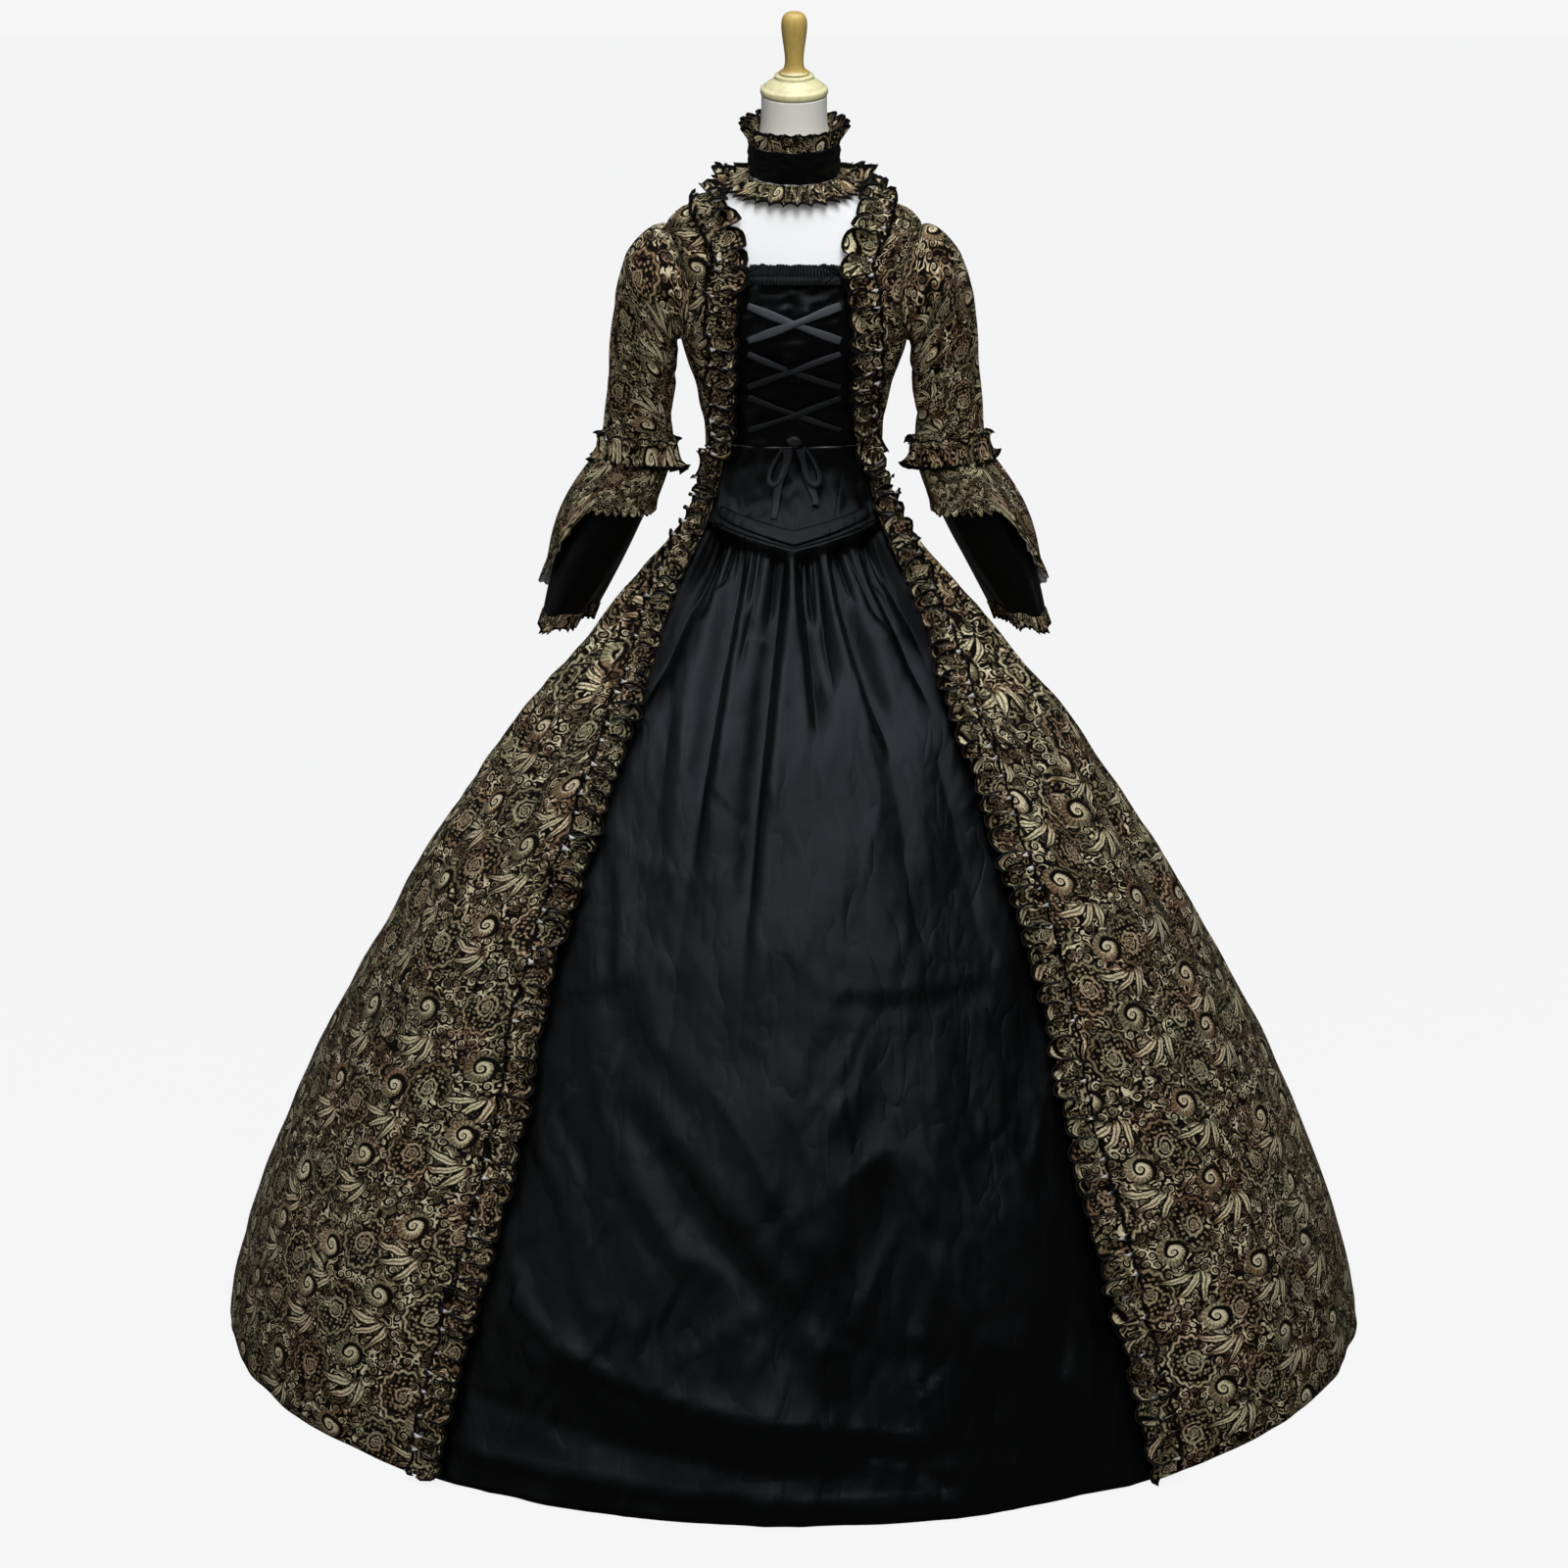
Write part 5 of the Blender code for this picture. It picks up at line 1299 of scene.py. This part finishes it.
def make_flounces():
    """Black flounce with a brocade edging, and over it a brocade flounce cut short in front."""
    count = 200
    turn = around(count)[None]
    crimp = 0.0010 * np.sin(23 * turn + 2 * np.sin(3 * turn))
    wide = np.linspace(0, 0.62, count + 1)[None]
    top = float(curve(SLEEVE, "outer_z", 1.0))
    for side, sign in SIDES:
        wave = 0.5 - 0.5 * np.cos(5 * turn + 0.35 * np.sin(3 * turn + sign))
        sweep = 0.0030 * ripple(np.cos(turn) * 0.1, np.sin(turn) * 0.1, 121 + sign, 0.06)

        def flounce(part, kind, down, lift, finish, over, cut, **looks):
            """Cloth that hangs round the arm, at its distances down and out."""
            points = mirrored(raised(flounce_face, down, turn, lift, True), sign)
            sewn(f"flounce_{part}_{side}_{kind}", points, finish, f"flounce_{part}_{side}", "gathered",
                 [over], cut=cut, closed=True, flip=sign < 0, **looks)

        def crimped(down):
            """Fine gathers under the seam."""
            return crimp * ease((0.35 - down) / 0.35) * ease(down / 0.05)

        down = np.linspace(FLOUNCE_TRIM_START, 0.0, 34)[:, None]
        lift = INNER_FLOUNCE_LIFT - (0.0090 * wave + sweep) * down + crimped(down)
        flounce("inner", "cloth", down, np.minimum(lift, -0.0016), "black_taffeta", f"sleeve_{side}_cloth",
                grid(wide, 0.26 * (1 - down)), wall=BLACK_TRIM_WALL)
        down = np.linspace(1.0, FLOUNCE_TRIM_START - 0.012, 12)[:, None]
        run = (down - FLOUNCE_TRIM_START + 0.012) / 0.092
        frill = 0.0032 * np.sin(29 * turn + 1.5 * np.sin(4 * turn)) * run
        lift = INNER_FLOUNCE_LIFT + 0.0014 - (0.0090 * wave + sweep) * down + frill
        scallop = 0.012 * np.sin(29 * turn + 1.0) * ease(run)
        flounce("edging", "frill", down + scallop * 0.6, lift, "scroll_brocade",
                f"flounce_inner_{side}_cloth", grid(wide * 1.6, 0.025 * (1 - run)), wall=TRIM_WALL,
                edged=run[:, 0] * 0.98, **LINED, **EDGED)
        drop = np.clip(np.cos(turn - OUTER_FLOUNCE_LONG_AT), 0.0, 1.0) ** 0.8
        hem = OUTER_FLOUNCE_SHORT - OUTER_FLOUNCE_DROP * drop
        end = (top - hem) / (top - FLOUNCE_HEM_Z) + 0.012 * np.sin(31 * turn)
        down = np.linspace(1.0, 0.0, 36)[:, None] * end
        lift = (0.007 * (2 - 2 * wave) + sweep) * down + crimped(down)
        lift = lift + 0.009 * np.sin(HALF_TURN * np.clip(down * 1.6, 0, 1)) * (0.6 + 0.4 * np.cos(turn))
        lip = 0.0030 * np.sin(31 * turn + 0.8) * ease((down / end - 0.8) / 0.2)
        flounce("outer", "cloth", down, np.maximum(lift + lip, 0.0), "scroll_brocade", f"sleeve_{side}_cloth",
                grid(wide, 0.26 * (1 - down[:, :1])), **LINED, **EDGED)


# Choker: radius of its band, and where that starts and ends up the neck
CHOKER_BAND = (0.0575, 0.278, 0.572)


def make_choker():
    """Black band, a frill that stands up from it, and a pleated frill that falls from it."""
    radius, low, high = CHOKER_BAND
    turn = around(180)[None]
    along = np.linspace(low, high, 16)[:, None]
    run = (along - low) / (high - low)
    drag = 0.0010 * ripple(np.cos(turn) * 0.05, np.sin(turn) * 0.05 + run * 0.03, 131, 0.012) \
        + 0.0009 * np.sin(FULL_TURN * 2.5 * run + 2.2 * np.sin(3 * turn) + 1.5 * np.sin(7 * turn)) - 0.0003
    size = radius + drag
    cut = grid(np.linspace(0, 0.36, 181)[None], 0.042 * run)
    sewn("choker_band_cloth", neck_ring(along, turn, size, size, 1.0), "black_taffeta", "choker_band",
         "stretched", ["form_neck"], cut=cut, closed=True, wall=BAND_WALL)
    count = 420
    turn = around(count)[None]
    draw = np.random.default_rng(141)
    strength = np.interp(turn, np.linspace(0, FULL_TURN, 41), np.append(draw.uniform(0.5, 1.2, 40), 0.9))
    phase = 20 * turn + 0.9 * np.sin(3 * turn)
    run = np.linspace(0, 1, 14)[:, None]
    size = radius - 0.0002 + 0.0085 * run ** 1.2 + 0.0058 * strength * np.sin(phase) * run ** 0.9
    along = high + 0.003 + 0.176 * run + 0.016 * run * strength * np.cos(2 * phase)
    cut = grid(np.linspace(0, 0.75, count + 1)[None], 0.026 * run)
    sewn("choker_top_frill", neck_ring(along, turn + 0.045 * run * np.cos(phase), size, size, 1.0),
         "scroll_brocade", "choker_ruffle_top", "gathered", ["choker_band_cloth"], cut=cut + 0.21,
         closed=True, wall=CHOKER_WALL, edged=run[:, 0], **EDGED)
    pleats = 30
    phase = pleats * turn + 0.5 * np.sin(5 * turn)
    pleat = np.arcsin(0.92 * np.sin(phase)) / 1.2
    run = np.linspace(0, 1, 16)[:, None]
    size = radius + 0.0262 * run ** 0.85 + 0.0066 * pleat * (0.25 + 0.75 * run) + 0.0008
    along = low - 0.004 - 0.130 * run - 0.005 * run * np.sin(phase + 0.6)
    cut = grid(np.linspace(0, 0.95, count + 1)[None], -0.030 * run)
    sewn("choker_pleats", neck_ring(along, turn + 0.02 * run * np.cos(phase), size, size, 1.0)[::-1],
         "scroll_brocade", "choker_ruffle_bottom", "gathered", ["choker_band_cloth"], cut=cut[::-1] + 0.33,
         closed=True, wall=CHOKER_WALL, edged=run[::-1, 0], **LINED, **EDGED)


def make_form():
    """Dress form: the hips, the robe's shape drawn in and the leaning neck; cap, finial and stand."""
    turn = around(120)
    rings = []
    for z in np.linspace(0.880, 1.090, 26):
        depth = np.where(np.cos(turn) < 0, curve(FORM_HIPS, "back", z), curve(FORM_HIPS, "front", z))
        rings.append(grid(curve(FORM_HIPS, "half_width", z) * np.sin(turn), -depth * np.cos(turn), z))
    for z in np.concatenate([np.linspace(1.1267, 1.235, 20), np.linspace(1.245, 1.43, 44)]):
        rings.append(robe(z, turn, -0.0016 - FORM_CLEAR))
    for along in np.linspace(0.02, 1.0, 60):
        size = [curve(NECK, name, along) for name in ("half_width", "half_depth", "lean")]
        rings.append(neck_ring(along, turn, *size))
    first, last = rings[0], rings[-1]
    low = [first.mean(0) + (first - first.mean(0)) * share for share in (0.0002, 0.3, 0.7, 0.97)]
    high = [last.mean(0) + (last - last.mean(0)) * share for share in (0.97, 0.7, 0.3, 0.0002)]
    smooth = np.stack(low + rings + high)
    for _ in range(3):
        smooth[6:-8] = (smooth[5:-9] + 2 * smooth[6:-8] + smooth[7:-7]) / 4
    place_hard("form_cover", smooth, "form_torso", "form_jersey")
    turn = around(72)[None]
    for name, node, profile, lift in (("cap_turning", "neck_cap", CAP_PROFILE, 0.0003),
                                      ("finial_turning", "finial", FINIAL_PROFILE, 0.0266)):
        radius = np.maximum(profile["radius"], 1e-5)[:, None]
        height = profile["height"][:, None] + NECK_LENGTH + lift
        ahead = -radius * np.cos(turn)
        y = ahead * math.cos(NECK_LEAN) - height * math.sin(NECK_LEAN) + NECK_BASE[1]
        z = ahead * math.sin(NECK_LEAN) + height * math.cos(NECK_LEAN) + NECK_BASE[2]
        piece = place_hard(name, grid(radius * np.sin(turn), y, z), node, "turned_wood")
        round_off = piece.modifiers.new("smooth", "SUBSURF")
        round_off.levels = 1
        round_off.render_levels = 1
    for node in ("stand_base", "stand_pole"):
        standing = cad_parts[node]
        standing.data.materials.clear()
        standing.data.materials.append(bpy.data.materials["stand_paint"])


# Lacing: heights of its crossings, half of each one's span and rise, its widths, and the height of the knot
LACE_CROSSINGS = (1.294, 1.236, 1.181)
LACE_HALF_SPAN = 0.056
LACE_HALF_RISE = 0.021
LACE_WIDTHS = (0.0105, 0.0080, 0.0075)
KNOT_Z = 1.147


def ribbon(name, node, z, reach, lift, wobble, rests, width=0.0095):
    """Flat ribbon along a line of heights and distances to the side, its middle a little crowned."""
    slope_z, slope_x = np.gradient(z), np.gradient(reach)
    length = np.hypot(slope_z, slope_x)
    across = np.linspace(-1, 1, 7)[:, None]
    half = width / 2 * (1 - 0.25 * wobble)
    ribbon_z = z - across * half * slope_x / length
    ribbon_x = reach + across * half * slope_z / length
    crown = 0.0006 * (1 - across ** 2) + 0.0004 * wobble * np.sin(3 * across + 40 * z)
    points = robe(ribbon_z, turn_at(ribbon_z, ribbon_x), lift + crown)
    sewn(name, points, "satin_ribbon", node, "hung", [rests], flip=True, wall=RIBBON_WALL)


def make_lacing():
    """Ribbons that cross over the stomacher, and the bow's knot, loops and tails below them."""
    share = np.linspace(-1.0, 1.0, 61)
    reach = LACE_HALF_SPAN * share
    hump = 0.0018 * ease(1 - np.abs(share) / 0.4)
    for number, (centre, width) in enumerate(zip(LACE_CROSSINGS, LACE_WIDTHS), start=1):
        sag = 0.0016 * (1 - share ** 2) * math.cos(number * 1.7)
        twist = 0.5 + 0.5 * np.sin(5 * share + number)
        rise = LACE_HALF_RISE * share
        for way, z, lift in (("under", centre - rise + sag, 0.0024 + 0 * share),
                             ("over", centre + rise - sag, 0.0024 + hump)):
            ribbon(f"lace_ribbon_{way}_{number}", f"lace_{way}_{number}", z, reach, lift, twist,
                   "stomacher_cloth", width)
    fall = np.linspace(0.0, 1.0, 41)
    turn = around(72)
    across = np.linspace(0.0, 1.0, 6)[:, None]
    narrow = 0.0057 * across
    bulge = (1 - np.cos(turn)) / 2
    for side, sign, length in (("right", -1, 0.085), ("left", 1, 0.070)):
        z = KNOT_Z - 0.009 - length * fall
        reach = sign * (0.0058 + 0.020 * np.sin(0.9 * QUARTER_TURN * fall) ** 1.5) + 0.0012 * np.sin(9 * fall)
        lift = 0.0042 + 0.0012 * np.sin(6 * fall + sign)
        ribbon(f"lace_ribbon_tail_{side}", f"lace_tail_{side}", z, reach, lift, 0.5 + 0.5 * np.sin(7 * fall),
               "basque_cloth")
        drop = KNOT_Z - 0.006 - 0.026 + (0.026 - narrow) * np.cos(turn)
        swell = (0.35 + 0.65 * bulge) * (0.014 - narrow)
        reach = sign * (0.011 + 0.25 * (KNOT_Z - drop)) + swell * np.sin(turn)
        lift = 0.0022 + 0.0035 * bulge + 0.0008 * np.sin(HALF_TURN * across)
        sewn(f"lace_ribbon_loop_{side}", robe(drop, turn_at(drop, reach), lift), "satin_ribbon",
             f"lace_loop_{side}", "hung", ["basque_cloth"], closed=True, wall=RIBBON_WALL)
    turn = around(40)[None]
    rise = np.linspace(-0.498, 0.498, 22)[:, None] * HALF_TURN
    pinch = 1 - 0.10 * np.cos(3 * turn + 4 * rise) * np.cos(rise)
    front = float(curve(ROBE, "front", KNOT_Z))
    points = grid(0.0088 * np.cos(rise) * np.sin(turn) * pinch,
                  -front - 0.0053 - 0.0042 * np.cos(rise) * np.cos(turn) * pinch,
                  KNOT_Z + 0.0070 * np.sin(rise))
    place_hard("lace_ribbon_knot", points, "lace_knot", "satin_ribbon")


def color_property(name, description, default):
    return bpy.props.FloatVectorProperty(name=name, description=description, subtype="COLOR", size=4, min=0.0,
                                         max=1.0, default=default)


def number_property(name, description, default, **kind):
    return bpy.props.FloatProperty(name=name, description=description, default=default, **kind)


def length_property(name, description, default):
    return number_property(name, description, default, unit="LENGTH")


def angle_property(name, description, degrees):
    return number_property(name, description, math.radians(degrees), subtype="ANGLE")


class GownLook(bpy.types.PropertyGroup):
    """Colours of the cloth and the form."""
    pale_thread: color_property("Pale thread", "Light thread of the big scrolls", (0.76, 0.67, 0.44, 1.0))
    olive_thread: color_property("Olive thread", "Greener thread of the filling", (0.215, 0.190, 0.105, 1.0))
    brown_thread: color_property("Brown thread", "Browner thread of the filling", (0.225, 0.135, 0.072, 1.0))
    ground: color_property("Ground", "Dark ground of the brocade", (0.0035, 0.0025, 0.0016, 1.0))
    wrong_side: color_property("Wrong side", "Back of the brocade", (0.82, 0.81, 0.78, 1.0))
    satin: color_property("Black cloth", "Black skirt, basque and band", (0.0019, 0.0019, 0.0020, 1.0))
    ribbon: color_property("Ribbon", "Lacing and bow", (0.060, 0.063, 0.070, 1.0))
    sheen_tint: color_property("Sheen tint", "Cast of the black cloth's sheen", (0.86, 0.94, 1.00, 1.0))
    form_color: color_property("Form cover", "White cover of the dress form", (0.79, 0.79, 0.785, 1.0))
    # Warmer neck cover, painted lighter to stand in for light on the shaded neck
    neck_tint_and_light: color_property("Neck cover", "Cover of the form's neck", (0.89, 0.87, 0.80, 1.0))
    cap_color: color_property("Cap wood", "Wooden cap of the neck", (0.84, 0.79, 0.46, 1.0))
    finial_color: color_property("Finial wood", "Turned finial", (0.60, 0.43, 0.12, 1.0))


class GownStage(bpy.types.PropertyGroup):
    """Camera, floor and light."""
    camera_distance: length_property("Camera distance", "From the gown's middle to the camera", 4.167)
    camera_height: length_property("Camera height", "Above the floor", 1.644)
    camera_side: length_property("Camera to the side", "Towards the wearer's left", -0.0125)
    camera_pitch: angle_property("Camera pitch", "Below the horizon", 12.91)
    lens: number_property("Lens", "Focal length in millimetres", 75.54)
    backdrop: color_property("Backdrop", "Paper behind the gown", (0.913, 0.913, 0.913, 1.0))
    floor: color_property("Floor", "Paper under the gown", (0.08, 0.079, 0.078, 1.0))
    floor_glow: number_property("Floor glow", "Evenness of the floor's white", 0.858)
    dome_low: color_property("Light from the sides", "Light up to half height", (0.040, 0.040, 0.040, 1.0))
    dome_high: color_property("Light from above", "Light overhead", (3.1, 3.4, 3.85, 1.0))
    box_height: length_property("Box height", "Of both box lights above the floor", 3.2)
    box_side: length_property("Boxes to the side", "Towards the wearer's left", 0.25)
    box_aim: length_property("Box aim", "Height on the gown that the box lights face", 1.25)
    top_power: number_property("Top box", "Watts of the box overhead", 14.0)
    top_distance: length_property("Top box distance", "In front of the gown's middle", 0.75)
    front_power: number_property("Front box", "Watts of the box in front", 24.5)
    front_distance: length_property("Front box distance", "In front of the gown's middle", 2.3)
    fill_power: number_property("Fill", "Strength of the front light", 1.50)
    fill_height: angle_property("Fill height", "Above the horizon", 15)
    gleam_power: number_property("Gleam", "Strength of the side light that only shows as a gleam", 0.32)


def make_finishes():
    """All the materials."""
    look = bpy.context.scene.gown_look
    groups = {"scroll": scroll_group(curl_group()), "weave": weave_group(), "crumple": crumple_group()}
    brocade(groups, look)
    wrong_side(groups, look)
    picot()
    taffeta(groups, look, "black_taffeta", tuple(look.satin), 0.0, 0.45)
    taffeta(groups, look, "satin_ribbon", tuple(look.ribbon), 0.06, 0.05)
    jersey(look)
    wood(look)
    stand_paint()


def make_floor(stage):
    """Wide paper that shows an even white to the camera."""
    mesh = bpy.data.meshes.new("floor")
    corners = ((-1, -1), (1, -1), (1, 1), (-1, 1))
    mesh.from_pydata([(FLOOR_REACH * x, FLOOR_REACH * y, 0) for x, y in corners], [], [(0, 1, 2, 3)])
    floor = bpy.data.objects.new("floor", mesh)
    bpy.context.scene.collection.objects.link(floor)
    net, shader = new_material("floor_paper")
    seen = net.add("ShaderNodeLightPath").outputs["Is Camera Ray"]
    net.fill(shader, Base_Color=stage.floor, Roughness=1.0, Specular_IOR_Level=0.0,
             Emission_Color=(1, 1, 1, 1), Emission_Strength=net.times(seen, stage.floor_glow))
    mesh.materials.append(bpy.data.materials["floor_paper"])


def make_dome(stage):
    """Light that comes from above, behind a backdrop that only the camera sees."""
    world = bpy.data.worlds.new("studio")
    world.use_nodes = True
    net = Net(world.node_tree)
    seen = net.add("ShaderNodeLightPath").outputs["Is Camera Ray"]
    upward = net.split(net.add("ShaderNodeTexCoord").outputs["Generated"])[2]
    dome = net.mix(net.step(upward, DOME_EDGE, 1.0), stage.dome_low, stage.dome_high)
    net.fill(world.node_tree.nodes["Background"], Color=net.mix(seen, dome, stage.backdrop))
    bpy.context.scene.world = world


def new_lamp(name, kind, power, rotation, **settings):
    """Light of a kind and strength, turned from where it would shine straight down."""
    light = bpy.data.lights.new(name, kind)
    light.energy = power
    for key, setting in settings.items():
        setattr(light, key, setting)
    lamp = bpy.data.objects.new(name, light)
    bpy.context.scene.collection.objects.link(lamp)
    lamp.rotation_euler = rotation
    return lamp


def make_stage():
    """Floor, backdrop, two box lights, two wide suns, and the camera."""
    scene = bpy.context.scene
    stage = scene.gown_stage
    make_floor(stage)
    make_dome(stage)
    for name, power, distance in (("top_box", stage.top_power, stage.top_distance),
                                  ("front_box", stage.front_power, stage.front_distance)):
        rotation = (math.atan2(distance, stage.box_height - stage.box_aim), 0.0, 0.0)
        lamp = new_lamp(name, "AREA", power, rotation, shape="DISK", size=BOX_SIZE)
        lamp.location = (stage.box_side, -distance, stage.box_height)
        lamp.visible_camera = False
        lamp.visible_glossy = name == "top_box"
    fill = new_lamp("fill", "SUN", stage.fill_power, (QUARTER_TURN - stage.fill_height, 0.0, 0.0), angle=1.05)
    fill.visible_glossy = False
    rotation = (QUARTER_TURN - GLEAM_HEIGHT, 0.0, GLEAM_TURN)
    gleam = new_lamp("gleam", "SUN", stage.gleam_power, rotation, angle=0.7)
    gleam.visible_diffuse = False
    camera = bpy.data.cameras.new("camera")
    camera.lens = stage.lens
    camera.sensor_width = 36.0
    taker = bpy.data.objects.new("camera", camera)
    scene.collection.objects.link(taker)
    taker.location = (stage.camera_side, -stage.camera_distance, stage.camera_height)
    taker.rotation_euler = (QUARTER_TURN - stage.camera_pitch, 0.0, 0.0)
    scene.camera = taker
    scene.view_settings.view_transform = "Standard"


def piece_operator(name, label, text, make):
    """Operator that builds one group of pieces."""
    def execute(self, context):
        make()
        return {"FINISHED"}
    fields = {"bl_idname": "gown." + name, "bl_label": label, "__doc__": text, "execute": execute}
    return type("GOWN_OT_" + name, (bpy.types.Operator,), fields)


OPERATORS = tuple(piece_operator(*row) for row in (
    ("finishes", "Finishes", "Make the materials", make_finishes),
    ("form", "Dress form", "Build the dress form, its cap and finial, and finish the stand", make_form),
    ("bodice", "Bodice", "Build the fronts and backs of the bodice", make_bodice),
    ("stomacher", "Stomacher and basque", "Build the black front of the bodice", make_stomacher),
    ("underskirt", "Underskirt", "Build the black front of the skirt", make_underskirt),
    ("overskirt", "Overskirt", "Build the open brocade skirt", make_overskirt),
    ("front_ruffles", "Front ruffles", "Build the ruffles of the front edges", make_front_ruffles),
    ("collar", "Collar ruffle", "Build the ruffle round the back of the neck", make_collar),
    ("sleeves", "Sleeves", "Build the sleeves and their headings", make_sleeves),
    ("flounces", "Flounces", "Build the flounces of the sleeves", make_flounces),
    ("choker", "Choker", "Build the ruffled choker", make_choker),
    ("lacing", "Lacing", "Build the lacing and its bow", make_lacing),
    ("stage", "Stage", "Set the floor, the lights and the camera", make_stage),
))


class GOWN_PT_panel(bpy.types.Panel):
    """Steps and settings of the gown"""
    bl_idname = "GOWN_PT_panel"
    bl_label = "Gown"
    bl_space_type = "VIEW_3D"
    bl_region_type = "UI"
    bl_category = "Gown"

    def draw(self, context):
        for step in OPERATORS:
            self.layout.operator(step.bl_idname)
        for settings in (context.scene.gown_look, context.scene.gown_stage):
            for name in settings.__annotations__:
                self.layout.prop(settings, name)


CLASSES = (GownLook, GownStage) + OPERATORS + (GOWN_PT_panel,)


def register():
    for kind in CLASSES:
        bpy.utils.register_class(kind)
    bpy.types.Scene.gown_look = bpy.props.PointerProperty(type=GownLook)
    bpy.types.Scene.gown_stage = bpy.props.PointerProperty(type=GownStage)


def unregister():
    del bpy.types.Scene.gown_stage
    del bpy.types.Scene.gown_look
    for kind in reversed(CLASSES):
        bpy.utils.unregister_class(kind)


def main():
    register()
    for step in OPERATORS:
        getattr(bpy.ops.gown, step.bl_idname.split(".")[1])()


if __name__ == "__main__":
    main()
